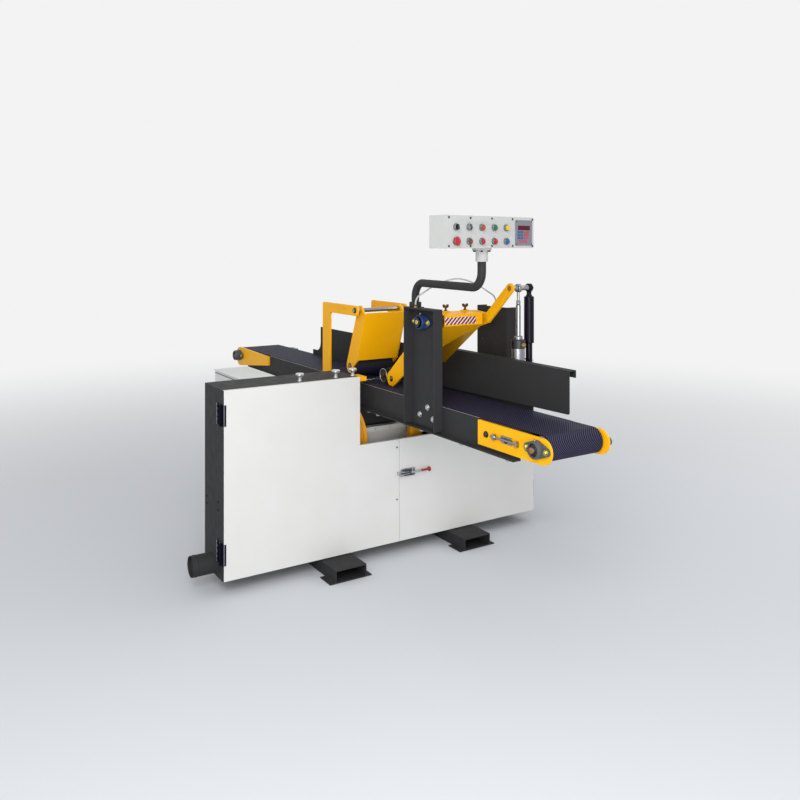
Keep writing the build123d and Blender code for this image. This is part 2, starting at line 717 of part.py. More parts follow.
def main_motor():
    """Foot-mounted motor on its plate across the right foot."""
    x = RIGHT_FOOT_X
    y = (MOTOR_FRONT, MOTOR_FRONT + MOTOR_LENGTH)
    plate_top = FOOT_HEIGHT + MOTOR_PLATE
    body = along_y(x, y, MOTOR_Z, MOTOR_R)
    body += block((x - MOTOR_R, x + MOTOR_R), (y[0] + MOTOR_R / 2, y[1] - MOTOR_R / 2), (plate_top, MOTOR_Z))
    box_y = y[0] + MOTOR_R / 2
    body += block((x - TERMINAL_BOX / 2, x + TERMINAL_BOX / 2), (box_y, box_y + TERMINAL_BOX),
                  (MOTOR_Z, MOTOR_Z + TERMINAL_HEIGHT))
    body -= along_y(x, (y[0], y[0] + MOTOR_R), MOTOR_Z, MOTOR_SHAFT_R + BEARING_GAP)
    plate = block((x - MOTOR_PLATE_HALF, x + MOTOR_PLATE_HALF), y, (FOOT_HEIGHT, plate_top))
    return group(body, plate)


def drive_belts():
    """V belts side by side from the motor pulley to the driven pulley."""
    low = (RIGHT_FOOT_X, MOTOR_Z)
    high = (WHEEL_X, WHEEL_Z)
    low_r = MOTOR_PULLEY_R + RUN_GAP
    high_r = DRIVEN_PULLEY_R + RUN_GAP
    loop = taut(low, low_r + V_BELT_DEPTH, high, high_r + V_BELT_DEPTH) - taut(low, low_r, high, high_r)
    first = PULLEY_FRONT + (V_BELT_PITCH - V_BELT_WIDTH) / 2
    starts = [first + n * V_BELT_PITCH for n in range(BELT_COUNT)]
    return group(*[front_plate(loop, (start, start + V_BELT_WIDTH)) for start in starts])


def belt_guard():
    """Sheet cover round the pulleys, open towards the back plate."""
    grow = RUN_GAP + V_BELT_DEPTH + GUARD_CLEAR
    low = (RIGHT_FOOT_X, MOTOR_Z)
    high = (WHEEL_X, WHEEL_Z)
    outer = taut(low, MOTOR_PULLEY_R + grow + GUARD_WALL, high, DRIVEN_PULLEY_R + grow + GUARD_WALL)
    inner = taut(low, MOTOR_PULLEY_R + grow, high, DRIVEN_PULLEY_R + grow)
    back = PULLEY_BACK + GUARD_CLEAR
    wall = front_plate(outer - inner, (CABINET_DEPTH, back))
    face = outer - disc(low, MOTOR_SHAFT_R + GUARD_CLEAR)
    return wall + front_plate(face, (back, back + GUARD_WALL))


def guide_bar():
    """Left guide bar with the head over the blade at its inner end."""
    inner = -THROAT_HALF + GUIDE_OUT
    top = CABINET_TOP - SHEET - RUN_GAP
    bar = block((-THROAT_HALF - GUIDE_IN, inner), (GUIDE_Y - GUIDE_WIDTH / 2, GUIDE_Y + GUIDE_WIDTH / 2),
                (top - GUIDE_HEIGHT, top))
    blade_top = WHEEL_Z + WHEEL_R + RUN_GAP + BLADE_THICKNESS
    head_y = (GUIDE_Y, WHEEL_Y + BLADE_WIDTH / 2)
    return bar + block((inner - GUIDE_HEAD, inner), head_y, (blade_top + GUIDE_BLADE_GAP, top))


def guide_arm_left():
    """Adjustable guide arm, slotted for the three clamp studs."""
    arm = guide_bar()
    top = CABINET_TOP - SHEET
    for x in KNOB_X:
        reach = (x - GUIDE_TRAVEL, x + GUIDE_TRAVEL)
        half = KNOB_STUD_R + RUN_GAP
        arm -= block(reach, (GUIDE_Y - half, GUIDE_Y + half), (top - 2 * GUIDE_HEIGHT, top))
    return arm


def guide_arm_right():
    """Fixed guide arm, seated on the underside of its tower top."""
    return Pos(0, 0, RUN_GAP) * mirrored(guide_bar())


def knob(x):
    """Clamp knob: lobed head, stud and the nut under the guide arm."""
    under = CABINET_TOP - SHEET - 2 * RUN_GAP - GUIDE_HEIGHT
    stud = along_z(x, GUIDE_Y, (under - KNOB_NUT, CABINET_TOP + KNOB_NECK), KNOB_STUD_R)
    nut = along_z(x, GUIDE_Y, (under - KNOB_NUT, under), KNOB_NUT_R)
    collar = along_z(x, GUIDE_Y, (CABINET_TOP, CABINET_TOP + KNOB_NECK), KNOB_NUT_R)
    head = along_z(x, GUIDE_Y, (CABINET_TOP + KNOB_NECK, CABINET_TOP + KNOB_NECK + KNOB_HEIGHT), KNOB_R)
    return stud + nut + collar + head


def hinge_half(z, leaf_y):
    """One leaf and its knuckle on the left hinge line."""
    knuckle = along_z(-HINGE_X, HINGE_Y, z, HINGE_R)
    return knuckle + block((-CABINET_END - HINGE_LEAF, -CABINET_END), leaf_y, z)


def door_hinges():
    """Cabinet halves of the four door hinges, the lower knuckles."""
    leaf_y = (HINGE_Y, HINGE_Y + HINGE_WING)
    halves = [hinge_half((z, z + HINGE_HEIGHT / 2), leaf_y) for z in (UPPER_HINGE_Z, LOWER_HINGE_Z)]
    return group(*halves, *[mirrored(half) for half in halves])


def door_leaves():
    """Door halves of the left hinges, the upper knuckles."""
    leaf_y = (HINGE_LEAF, HINGE_Y)
    middle = HINGE_HEIGHT / 2 + RUN_GAP
    return [hinge_half((z + middle, z + HINGE_HEIGHT), leaf_y) for z in (UPPER_HINGE_Z, LOWER_HINGE_Z)]


def door_pan(seam_x):
    """Stepped door pan on the left side, whose low part reaches the seam."""
    outline = polygon(
        (-CABINET_END, DOOR_BOTTOM), (seam_x, DOOR_BOTTOM), (seam_x, THROAT_FLOOR),
        (-THROAT_HALF, THROAT_FLOOR), (-THROAT_HALF, CABINET_TOP), (-CABINET_END, CABINET_TOP),
    )
    hollow = offset(outline, -DOOR_SKIN, kind=Kind.INTERSECTION)
    return front_plate(outline, (0, DOOR_THICKNESS)) - front_plate(hollow, (DOOR_SKIN, DOOR_THICKNESS))


def left_door():
    seam = DOOR_SEAM_X - DOOR_GAP / 2
    keeper_z = (LATCH_Z - HANDLE_R, LATCH_Z + HANDLE_R)
    keeper = block((seam - KEEPER_LENGTH, seam), (-LATCH_PIVOT_OUT, 0), keeper_z)
    return group(door_pan(seam), keeper, *door_leaves())


def right_door():
    pan = mirrored(door_pan(-DOOR_SEAM_X - DOOR_GAP / 2))
    return group(pan, *[mirrored(leaf) for leaf in door_leaves()])


def latch_body():
    """Toggle latch base on the right door, with two ears for the handle's pin."""
    x = DOOR_SEAM_X + LATCH_INSET
    half = LATCH_HEIGHT / 2
    base = block((x, x + LATCH_LENGTH), (-LATCH_PLATE, 0), (LATCH_Z - half, LATCH_Z + half))
    ears = []
    inner = HANDLE_R + RUN_GAP
    outer = inner + LATCH_EAR
    for z in ((LATCH_Z - outer, LATCH_Z - inner), (LATCH_Z + inner, LATCH_Z + outer)):
        ear_x = (x + LATCH_INSET, x + LATCH_LENGTH - LATCH_INSET)
        ears.append(block(ear_x, (-LATCH_PIVOT_OUT - LATCH_EAR, -LATCH_PLATE), z))
    body = base + ears[0] + ears[1]
    pin_z = (LATCH_Z - outer, LATCH_Z + outer)
    return body - along_z(x + LATCH_PIVOT_IN, -LATCH_PIVOT_OUT, pin_z, LATCH_EAR / 2 + BEARING_GAP)


def latch_handle():
    """Handle lever and its pivot pin."""
    x = DOOR_SEAM_X + LATCH_INSET + LATCH_PIVOT_IN
    y = -LATCH_PIVOT_OUT
    inner = HANDLE_R + RUN_GAP
    pin = along_z(x, y, (LATCH_Z - inner - LATCH_EAR, LATCH_Z + inner + LATCH_EAR), LATCH_EAR / 2)
    half = HANDLE_BLADE / 2
    lever = block((x - half, x + HANDLE_LENGTH / 2), (y - half, y + half), (LATCH_Z - half, LATCH_Z + half))
    grip = along_x((x + HANDLE_LENGTH / 2, x + HANDLE_LENGTH), y, LATCH_Z, HANDLE_R)
    return pin + lever + grip


def conveyor_frame():
    """Side rails, their flanges notched over the wheels, with the belt's slider bed and cross members."""
    length = (INFEED_DRUM_Y + RAIL_END_GAP, OUTFEED_DRUM_Y - RAIL_END_GAP)
    web = block((-RAIL_OUT, -RAIL_IN), length, (RAIL_BOTTOM, RAIL_TOP))
    edge = -RAIL_OUT - RAIL_FLANGE
    rail = web + block((edge, -RAIL_OUT), length, (RAIL_BOTTOM, RAIL_BOTTOM + RAIL_FLANGE_T))
    notch_half = RIM_WIDTH / 2 + RAIL_NOTCH_SIDE
    rail -= block((edge, -RAIL_OUT), (WHEEL_Y - notch_half, WHEEL_Y + notch_half),
                  (RAIL_BOTTOM, RAIL_BOTTOM + RAIL_FLANGE_T))
    bed_top = BELT_TOP - BELT_THICKNESS - RUN_GAP
    bed_y = (INFEED_DRUM_Y + DRUM_R + BED_END_GAP, OUTFEED_DRUM_Y - DRUM_R - BED_END_GAP)
    bed = block((-RAIL_IN, RAIL_IN), bed_y, (bed_top - BED_THICKNESS, bed_top))
    first = length[0] + CROSS_INSET
    pitch = (length[1] - length[0] - 2 * CROSS_INSET) / (CROSS_COUNT - 1)
    cross_top = bed_top - BED_THICKNESS
    bars = []
    for n in range(CROSS_COUNT):
        middle = first + n * pitch
        bars.append(block((-RAIL_IN, RAIL_IN), (middle - CROSS_WIDTH / 2, middle + CROSS_WIDTH / 2),
                          (cross_top - CROSS_HEIGHT, cross_top)))
    return group(rail, mirrored(rail), bed, *bars)


def conveyor_belt():
    """Endless feed belt round both drums."""
    inner = DRUM_R + RUN_GAP
    outer = inner + BELT_THICKNESS
    length = OUTFEED_DRUM_Y - INFEED_DRUM_Y
    middle = (OUTFEED_DRUM_Y + INFEED_DRUM_Y) / 2
    loop = SlotCenterToCenter(length, 2 * outer) - SlotCenterToCenter(length, 2 * inner)
    return side_plate(Pos(middle, DRUM_Z) * loop, (-BELT_WIDTH / 2, BELT_WIDTH / 2))


def cheek_pair(face, drum_y):
    """Two cheek plates of one outline, with room for a drum's shaft."""
    plate = side_plate(face - disc((drum_y, DRUM_Z), DRUM_SHAFT_R + SLIDE_GAP), (-PLATE_OUT, -RAIL_OUT))
    return [plate, mirrored(plate)]


def end_plates():
    """Cheek plates of the drums, straight at the infeed, tapering at the outfeed, its far one lower."""
    nose_r = END_PLATE_HEIGHT / 2
    nose_y = INFEED_DRUM_Y - END_PLATE_NOSE + nose_r
    tail_y = INFEED_DRUM_Y + END_PLATE_TAIL
    infeed = polygon((tail_y, PLATE_TOP), (nose_y, PLATE_TOP), (nose_y, PLATE_BOTTOM),
                     (tail_y, PLATE_BOTTOM))
    infeed += disc((nose_y, PLATE_TOP - nose_r), nose_r)
    corner_y = OUTFEED_DRUM_Y - OUTFEED_PLATE_TAIL + OUTFEED_TAIL_R
    outfeed = disc((OUTFEED_DRUM_Y, DRUM_Z - OUTFEED_NOSE_DROP), OUTFEED_NOSE_R)
    for z in (PLATE_TOP - OUTFEED_TAIL_R, PLATE_TOP - OUTFEED_TAIL_HEIGHT + OUTFEED_TAIL_R):
        outfeed += disc((corner_y, z), OUTFEED_TAIL_R)
    outfeed = make_hull(outfeed.edges())
    near, far = cheek_pair(outfeed, OUTFEED_DRUM_Y)
    above = (BELT_TOP - OUTFEED_FAR_DROP, BELT_TOP + OUTFEED_NOSE_R)
    far -= block((RAIL_OUT, PLATE_OUT), (corner_y - OUTFEED_TAIL_R, OUTFEED_DRUM_Y + OUTFEED_NOSE_R), above)
    return group(*cheek_pair(infeed, INFEED_DRUM_Y), near, far)


def flange_bearing(y, z, shaft_r, scale):
    """Two-bolt flange bearing on the near side, its back at X = 0 and its nose towards -X."""
    half = scale * BEARING_SPAN / 2
    hub_r = scale * BEARING_HUB_R
    ears = taut((y - half + BEARING_EAR_R, z), BEARING_EAR_R, (y, z), hub_r)
    ears += taut((y + half - BEARING_EAR_R, z), BEARING_EAR_R, (y, z), hub_r)
    body = side_plate(ears, (-BEARING_FLANGE, 0))
    body += along_x((-BEARING_FLANGE - BEARING_HUB, -BEARING_FLANGE), y, z, hub_r)
    return body - along_x((-BEARING_FLANGE - BEARING_HUB, 0), y, z, shaft_r + BEARING_GAP)


def flange_bearings():
    """Bearings of both drums and of the infeed hold-down's shaft."""
    drums = [Pos(-PLATE_OUT, 0, 0) * flange_bearing(y, DRUM_Z, DRUM_SHAFT_R, 1.0)
             for y in (INFEED_DRUM_Y, OUTFEED_DRUM_Y)]
    pivot = flange_bearing(PIVOT_Y, PIVOT_Z, PIVOT_R, PIVOT_BEARING_SCALE)
    near = Pos(-POST_OUT, 0, 0) * pivot
    far = Pos(FAR_POST_OUT, 0, 0) * mirrored(pivot)
    return group(*drums, *[mirrored(drum) for drum in drums], near, far)


def drum(y, far_end):
    """Belt drum and its shaft, which reaches far_end on the far side."""
    half = BELT_WIDTH / 2 - DRUM_EDGE_GAP
    shell = along_x((-half, half), y, DRUM_Z, DRUM_R)
    return shell + along_x((-BEARING_OUT - SHAFT_STUB, far_end), y, DRUM_Z, DRUM_SHAFT_R)


def infeed_drum():
    return drum(INFEED_DRUM_Y, BEARING_OUT + SHAFT_STUB)


def outfeed_drum():
    return drum(OUTFEED_DRUM_Y, BEARING_OUT + GEARBOX_WIDTH)


def feed_gearmotor():
    """Shaft-mounted gearbox on the outfeed drum, with its motor low along the rail."""
    x = (BEARING_OUT + RUN_GAP, BEARING_OUT + RUN_GAP + GEARBOX_WIDTH)
    y = (OUTFEED_DRUM_Y - GEARBOX_HALF_Y, OUTFEED_DRUM_Y + GEARBOX_HALF_Y)
    case = block(x, y, (DRUM_Z - GEARBOX_BELOW, DRUM_Z + GEARBOX_ABOVE))
    case -= along_x(x, OUTFEED_DRUM_Y, DRUM_Z, DRUM_SHAFT_R + BEARING_GAP)
    motor_z = DRUM_Z - GEARBOX_BELOW + FEED_MOTOR_R
    motor_x = x[1] + FEED_MOTOR_OVERHANG - FEED_MOTOR_R
    motor = along_y(motor_x, (y[0] - FEED_MOTOR_LENGTH, y[0]), motor_z, FEED_MOTOR_R)
    arm = block((PLATE_OUT, x[0]), (y[0], y[0] + END_PLATE), (PLATE_BOTTOM, PLATE_BOTTOM + TORQUE_ARM))
    return case + motor + arm


def post_channel(web_x, flange, y):
    """Upright channel with its web's inner face at web_x and its flanges pointing out to +X."""
    z = (POST_BOTTOM, POST_TOP)
    web = block((web_x, web_x + POST_PLATE), y, z)
    tip = web_x + POST_PLATE + flange
    for edge in (y[0], y[1] - POST_PLATE):
        web += block((web_x + POST_PLATE, tip), (edge, edge + POST_PLATE), z)
    return web - along_x((web_x, web_x + POST_PLATE), PIVOT_Y, PIVOT_Z, PIVOT_R + SLIDE_GAP)


def posts():
    """Near post with its cap, far post with its bracket, the strut bracket and the hose fittings."""
    y = (POST_FRONT, POST_BACK)
    near = mirrored(post_channel(RAIL_OUT, POST_FLANGE, y))
    cap_z = (POST_TOP, POST_CAP_TOP)
    near += block((-POST_OUT - POST_FLANGE, -RAIL_OUT), y, cap_z)
    seat_y = (TUBE_BASE[1] - TUBE_COLLAR_R - SLIDE_GAP, POST_BACK)
    near += block((-RAIL_OUT, -RAIL_OUT + POST_CAP_IN), seat_y, cap_z)
    y = (POST_FRONT, FAR_POST_BACK)
    far = post_channel(FAR_POST_X, FAR_POST_FLANGE, y)
    across = (RAIL_OUT, FAR_POST_X)
    far += block(across, y, (POST_BOTTOM, POST_BOTTOM + POST_PLATE))
    for edge in (y[0], y[1] - POST_PLATE):
        far += block(across, (edge, edge + POST_PLATE), (POST_BOTTOM, POST_BRACKET_TOP))
    strut_y = (LEVER_PIN_Y - STRUT_BRACKET_HALF_Y, LEVER_PIN_Y + STRUT_BRACKET_HALF_Y)
    shelf_top = STRUT_FOOT_Z - STRUT_EYE_R - SLIDE_GAP
    shelf = block((RAIL_OUT, DAMPER_X + STRUT_EYE_T), strut_y, (shelf_top - STRUT_BRACKET, shelf_top))
    lug_face = disc((LEVER_PIN_Y, STRUT_FOOT_Z), STRUT_EYE_R)
    lug_face += polygon((LEVER_PIN_Y - STRUT_EYE_R, shelf_top), (LEVER_PIN_Y + STRUT_EYE_R, shelf_top),
                        (LEVER_PIN_Y + STRUT_EYE_R, STRUT_FOOT_Z), (LEVER_PIN_Y - STRUT_EYE_R, STRUT_FOOT_Z))
    for x in (CYLINDER_X, DAMPER_X):
        lug = x - STRUT_EYE_T / 2 - RUN_GAP
        shelf += side_plate(lug_face, (lug - POST_PLATE, lug))
        shelf += along_x((lug, x + STRUT_EYE_T / 2), LEVER_PIN_Y, STRUT_FOOT_Z, STRUT_PIN_R)
    fittings = [along_z(x, HOSE_ROUTE[end][1], z, FITTING_R) for x, end, z in (
        (HOSE_ROUTE[0][0], 0, (POST_CAP_TOP, HOSE_ROUTE[0][2])),
        (HOSE_ROUTE[-1][0], -1, (POST_TOP, HOSE_ROUTE[-1][2])),
    )]
    return group(near, far, shelf, *fittings)


def arm_outline():
    """Side view of one hold-down arm: wide at the pivot, tapering to its eye."""
    eye = (ARM_EYE_Y, ARM_EYE_Z)
    head_top = PIVOT_Z + ARM_X / 2
    head_front = PIVOT_Y - COVER_HALF_X + COVER_PLATE
    across = ARM_END_R * ARM_EYE_COSINE
    up = ARM_END_R * ARM_EYE_SINE
    body = polygon(
        (head_front, PIVOT_Z - FRONT_AXLE_R), (eye[0] - across, eye[1] - up), (eye[0] + across, eye[1] + up),
        (PIVOT_Y + LEVER_HUB_R, head_top), (head_front, head_top),
    )
    return body + disc(eye, ARM_END_R)


def front_arm():
    """Yellow weldment of the infeed hold-down, its pivot shaft, its lever and the lever's pin."""
    outline = arm_outline() - disc((PIVOT_Y, PIVOT_Z), PIVOT_R)
    arm = side_plate(outline, (ARM_X, ARM_X + ARM_PLATE))
    axle = (FRONT_ROLLER_Y, FRONT_ROLLER_Z)
    eye = (ARM_EYE_Y, ARM_EYE_Z)
    link_face = taut(eye, LINK_R, axle, LINK_R) - disc(axle, FRONT_AXLE_R + BEARING_GAP)
    arm += side_plate(link_face, (LINK_X, LINK_X + LINK_PLATE))
    arm += along_x((LINK_X + LINK_PLATE, ARM_X), *eye, LINK_R)
    head_top = PIVOT_Z + ARM_X / 2
    head_front = PIVOT_Y - COVER_HALF_X + COVER_PLATE
    low = (head_front, PIVOT_Z - FRONT_AXLE_R)
    heel = (eye[0] - ARM_END_R * ARM_EYE_COSINE, eye[1] - ARM_END_R * ARM_EYE_SINE)
    run = Vector(*heel) - Vector(*low)
    along = run.normalized()
    down = Vector(along.Y, -along.X) * -COVER_PLATE
    toe = Vector(*low) + along * (run.length * COVER_SHARE)
    cover_face = polygon(
        (PIVOT_Y + LEVER_HUB_R, head_top), (PIVOT_Y + LEVER_HUB_R, head_top + COVER_PLATE),
        (head_front - COVER_PLATE, head_top + COVER_PLATE), (head_front - COVER_PLATE, low[1]),
        (low[0] - down.X, low[1] - down.Y), (toe.X - down.X, toe.Y - down.Y), (toe.X, toe.Y), low,
        (head_front, head_top),
    )
    cover = side_plate(cover_face, (-COVER_HALF_X, COVER_HALF_X))
    weldment = arm + mirrored(arm) + cover
    pin = (LEVER_PIN_Y, LEVER_PIN_Z)
    hub = (PIVOT_Y, PIVOT_Z)
    elbow = (head_front, PIVOT_Z + LEVER_END_R / 2)
    lever_face = taut(hub, LEVER_HUB_R, elbow, LEVER_END_R) + taut(elbow, LEVER_END_R, pin, LEVER_END_R)
    lever_face = lever_face - disc(hub, PIVOT_R) - disc(pin, LEVER_PIN_R)
    lever = side_plate(lever_face, (LEVER_X, LEVER_X + LEVER_PLATE))
    hub_link = disc(hub, LEVER_HUB_R) - disc(hub, PIVOT_R)
    weldment += side_plate(hub_link, (ARM_X + ARM_PLATE, LEVER_X)) + lever
    past_post = BEARING_FLANGE + BEARING_HUB + SHAFT_STUB
    shaft = along_x((-POST_OUT - past_post, FAR_POST_OUT + past_post), PIVOT_Y, PIVOT_Z, PIVOT_R)
    pin_bar = along_x((LEVER_X, DAMPER_X + STRUT_EYE_T), *pin, LEVER_PIN_R)
    return group(weldment, shaft, pin_bar)


def front_roller():
    """Axle with one wide roller between the links and a short one outside each."""
    inner = LINK_X - ROLLER_GAP
    outer = LINK_X + LINK_PLATE + ROLLER_GAP
    roller = along_x((-ROLLER_END_X, ROLLER_END_X), FRONT_ROLLER_Y, FRONT_ROLLER_Z, FRONT_AXLE_R)
    for x in ((-ROLLER_END_X, -outer), (-inner, inner), (outer, ROLLER_END_X)):
        roller += along_x(x, FRONT_ROLLER_Y, FRONT_ROLLER_Z, FRONT_ROLLER_R)
    return roller


def strut_eye(x, z, hole_r):
    """Round eye across X at one end of a strut."""
    span = (x - STRUT_EYE_T / 2, x + STRUT_EYE_T / 2)
    return along_x(span, LEVER_PIN_Y, z, STRUT_EYE_R) - along_x(span, LEVER_PIN_Y, z, hole_r)


def air_cylinder():
    """Cylinder tube with its foot eye and its head."""
    x, y = CYLINDER_X, LEVER_PIN_Y
    head_top = CYLINDER_TUBE_TOP + CYLINDER_HEAD
    body = along_z(x, y, (STRUT_TUBE_Z, head_top), CYLINDER_R)
    body -= along_z(x, y, (STRUT_TUBE_Z + CYLINDER_WALL, CYLINDER_TUBE_TOP), CYLINDER_R - CYLINDER_WALL)
    body -= along_z(x, y, (CYLINDER_TUBE_TOP, head_top), CYLINDER_ROD_R + BEARING_GAP)
    neck = along_z(x, y, (STRUT_FOOT_Z, STRUT_TUBE_Z), CYLINDER_ROD_R)
    foot_eye = strut_eye(x, STRUT_FOOT_Z, STRUT_PIN_R + BEARING_GAP)
    return body + (neck - along_x((x - CYLINDER_R, x + CYLINDER_R), y, STRUT_FOOT_Z, STRUT_EYE_R)) + foot_eye


def cylinder_rod():
    """Piston, rod and the eye round the lever's pin."""
    x, y = CYLINDER_X, LEVER_PIN_Y
    rod = along_z(x, y, (PISTON_Z, LEVER_PIN_Z), CYLINDER_ROD_R)
    rod += along_z(x, y, (PISTON_Z, PISTON_Z + PISTON_HEIGHT), CYLINDER_R - CYLINDER_WALL - RUN_GAP)
    rod += along_x((x - STRUT_EYE_T / 2, x + STRUT_EYE_T / 2), y, LEVER_PIN_Z, STRUT_EYE_R + PIN_PLAY)
    return rod - along_x((x - CYLINDER_R, x + CYLINDER_R), y, LEVER_PIN_Z, LEVER_PIN_R + PIN_PLAY)


def damper_tube():
    """Lower tube of the damper with its foot eye."""
    x, y = DAMPER_X, LEVER_PIN_Y
    tube = along_z(x, y, (STRUT_TUBE_Z, DAMPER_TUBE_TOP), DAMPER_R)
    tube -= along_z(x, y, (STRUT_TUBE_Z + STRUT_EYE_T, DAMPER_TUBE_TOP), DAMPER_BORE_R)
    neck = along_z(x, y, (STRUT_FOOT_Z, STRUT_TUBE_Z), DAMPER_BORE_R)
    foot_eye = strut_eye(x, STRUT_FOOT_Z, STRUT_PIN_R + BEARING_GAP)
    return tube + (neck - along_x((x - SLEEVE_R, x + SLEEVE_R), y, STRUT_FOOT_Z, STRUT_EYE_R)) + foot_eye


def damper_rod():
    """Dust sleeve, rod and top eye of the damper."""
    x, y = DAMPER_X, LEVER_PIN_Y
    sleeve = along_z(x, y, (SLEEVE_BOTTOM, SLEEVE_TOP), SLEEVE_R)
    sleeve -= along_z(x, y, (SLEEVE_BOTTOM, SLEEVE_TOP - SLEEVE_WALL), SLEEVE_R - SLEEVE_WALL)
    sleeve += along_z(x, y, (DAMPER_ROD_BOTTOM, SLEEVE_TOP), DAMPER_ROD_R)
    sleeve += along_z(x, y, (SLEEVE_TOP, LEVER_PIN_Z), SLEEVE_NECK_R)
    sleeve += along_x((x - STRUT_EYE_T / 2, x + STRUT_EYE_T / 2), y, LEVER_PIN_Z, STRUT_EYE_R + PIN_PLAY)
    return sleeve - along_x((x - SLEEVE_R, x + SLEEVE_R), y, LEVER_PIN_Z, LEVER_PIN_R + PIN_PLAY)


def gallows_brackets():
    """Brackets on the rails that carry the outfeed hold-down's shaft."""
    arm_bottom = BRACKET_TOP - BRACKET_ARM
    hole = disc((REAR_PIVOT_Y, REAR_PIVOT_Z), REAR_PIVOT_R + BEARING_GAP)
    pieces = []
    for back, post in ((NEAR_BRACKET_BACK, NEAR_BRACKET_POST), (FAR_BRACKET_BACK, FAR_BRACKET_POST)):
        face = polygon((BRACKET_FRONT, arm_bottom), (back, arm_bottom), (back, BRACKET_TOP),
                       (BRACKET_FRONT, BRACKET_TOP))
        post_back = post + BRACKET_POST_WIDTH
        face += polygon((post, BRACKET_BOTTOM), (post_back, BRACKET_BOTTOM), (post_back, arm_bottom),
                        (post, arm_bottom))
        face = fillet(face.vertices(), BRACKET_CORNER)
        pieces.append(side_plate(face - hole, (RAIL_OUT, RAIL_OUT + BRACKET_PLATE)))
    return group(mirrored(pieces[0]), pieces[1])


def rear_swing():
    """Swinging frame of the outfeed hold-down: two side plates, a front plate and the pivot shaft."""
    eye = (REAR_ROLLER_Y, REAR_ROLLER_Z)
    nose = (REAR_PIVOT_Y, REAR_PIVOT_Z)
    face = polygon(REAR_FRONT_TOP, REAR_FRONT_BOTTOM, REAR_BACK_BOTTOM, REAR_BACK_TOP)
    face += polygon(REAR_FRONT_BOTTOM, REAR_BACK_BOTTOM, (eye[0] + REAR_EYE_R, eye[1]),
                    (eye[0] - REAR_EYE_R, eye[1])) + disc(eye, REAR_EYE_R)
    face += taut(nose, REAR_NOSE_R, (REAR_FRONT_TOP[0] + REAR_EYE_R, REAR_BACK_TOP[1]), REAR_NOSE_R)
    face -= disc(eye, FRONT_AXLE_R + BEARING_GAP) + disc(nose, REAR_PIVOT_R)
    side = side_plate(face, (REAR_SIDE_X, REAR_SIDE_X + REAR_PLATE))
    edge = Vector(*REAR_FRONT_BOTTOM) - Vector(*REAR_FRONT_TOP)
    inward = Vector(-edge.Y, edge.X).normalized() * COVER_PLATE
    top, bottom = Vector(*REAR_FRONT_TOP), Vector(*REAR_FRONT_BOTTOM)
    front_face = polygon((top.X, top.Y), (bottom.X, bottom.Y), (bottom.X + inward.X, bottom.Y + inward.Y),
                         (top.X + inward.X, top.Y + inward.Y))
    front = side_plate(front_face, (-REAR_SIDE_X, REAR_SIDE_X))
    reach = RAIL_OUT + BRACKET_PLATE + SHAFT_STUB
    shaft = along_x((-reach, reach), *nose, REAR_PIVOT_R)
    return group(side + mirrored(side) + front, shaft)


def rear_roller():
    """Rubber roller and its axle in the swinging frame."""
    half = REAR_SIDE_X - ROLLER_GAP
    roller = along_x((-half, half), REAR_ROLLER_Y, REAR_ROLLER_Z, REAR_ROLLER_R)
    reach = REAR_SIDE_X + REAR_PLATE + ROLLER_GAP
    return roller + along_x((-reach, reach), REAR_ROLLER_Y, REAR_ROLLER_Z, FRONT_AXLE_R)


def infeed_fence():
    """Fence over the belt's far edge, lower towards the saw, on a carrier plate bolted to the far rail."""
    face_x = INFEED_FENCE_X + FENCE_PLATE
    lip_x = face_x + INFEED_FLANGE
    start, end = INFEED_FENCE
    face = polygon((start, INFEED_FENCE_BOTTOM), (end, INFEED_FENCE_HEEL), (end, INFEED_FENCE_TOP),
                   (start, INFEED_FENCE_TOP))
    corner = face.vertices().sort_by_distance(Vector(start, INFEED_FENCE_BOTTOM, 0))[0]
    fence = side_plate(fillet(corner, INFEED_FENCE_R), (INFEED_FENCE_X, face_x))
    fence += block((face_x, lip_x), INFEED_FENCE, (INFEED_FENCE_TOP - FENCE_PLATE, INFEED_FENCE_TOP))
    lip_z = (INFEED_FENCE_TOP - FENCE_LIP, INFEED_FENCE_TOP)
    fence += block((lip_x - FENCE_PLATE, lip_x), INFEED_FENCE, lip_z)
    fence += block((RAIL_OUT, POST_OUT), CARRIER, (CARRIER_BOTTOM, CARRIER_TOP))
    for y in INFEED_BARS:
        across = (y - FENCE_BAR_WIDTH / 2, y + FENCE_BAR_WIDTH / 2)
        fence += block((face_x, RAIL_OUT), across, (INFEED_BAR_FOOT, CARRIER_TOP))
        fence += block((RAIL_OUT, POST_OUT), across, (FENCE_BAR_BOTTOM, CARRIER_BOTTOM))
    return fence


def fences():
    """Infeed and outfeed fences with the bars that hold them to the far rail."""
    start, end = OUTFEED_FENCE
    toe_z = OUTFEED_FENCE_BOTTOM + OUTFEED_TOE_HEIGHT
    tip = end + OUTFEED_TOE
    face = polygon((start, OUTFEED_FENCE_BOTTOM), (tip, OUTFEED_FENCE_BOTTOM), (tip, toe_z), (end, toe_z),
                   (end, OUTFEED_FENCE_TOP), (start, OUTFEED_FENCE_TOP))
    inside_corner = face.vertices().sort_by_distance(Vector(end, toe_z, 0))[0]
    outfeed = side_plate(fillet(inside_corner, OUTFEED_TOE_R), (RAIL_OUT - FENCE_PLATE, RAIL_OUT))
    bars = [block((RAIL_OUT, POST_OUT), (y - FENCE_BAR_WIDTH / 2, y + FENCE_BAR_WIDTH / 2),
                  (FENCE_BAR_BOTTOM, FENCE_BAR_TOP)) for y in OUTFEED_BARS]
    return group(infeed_fence(), outfeed, *bars)


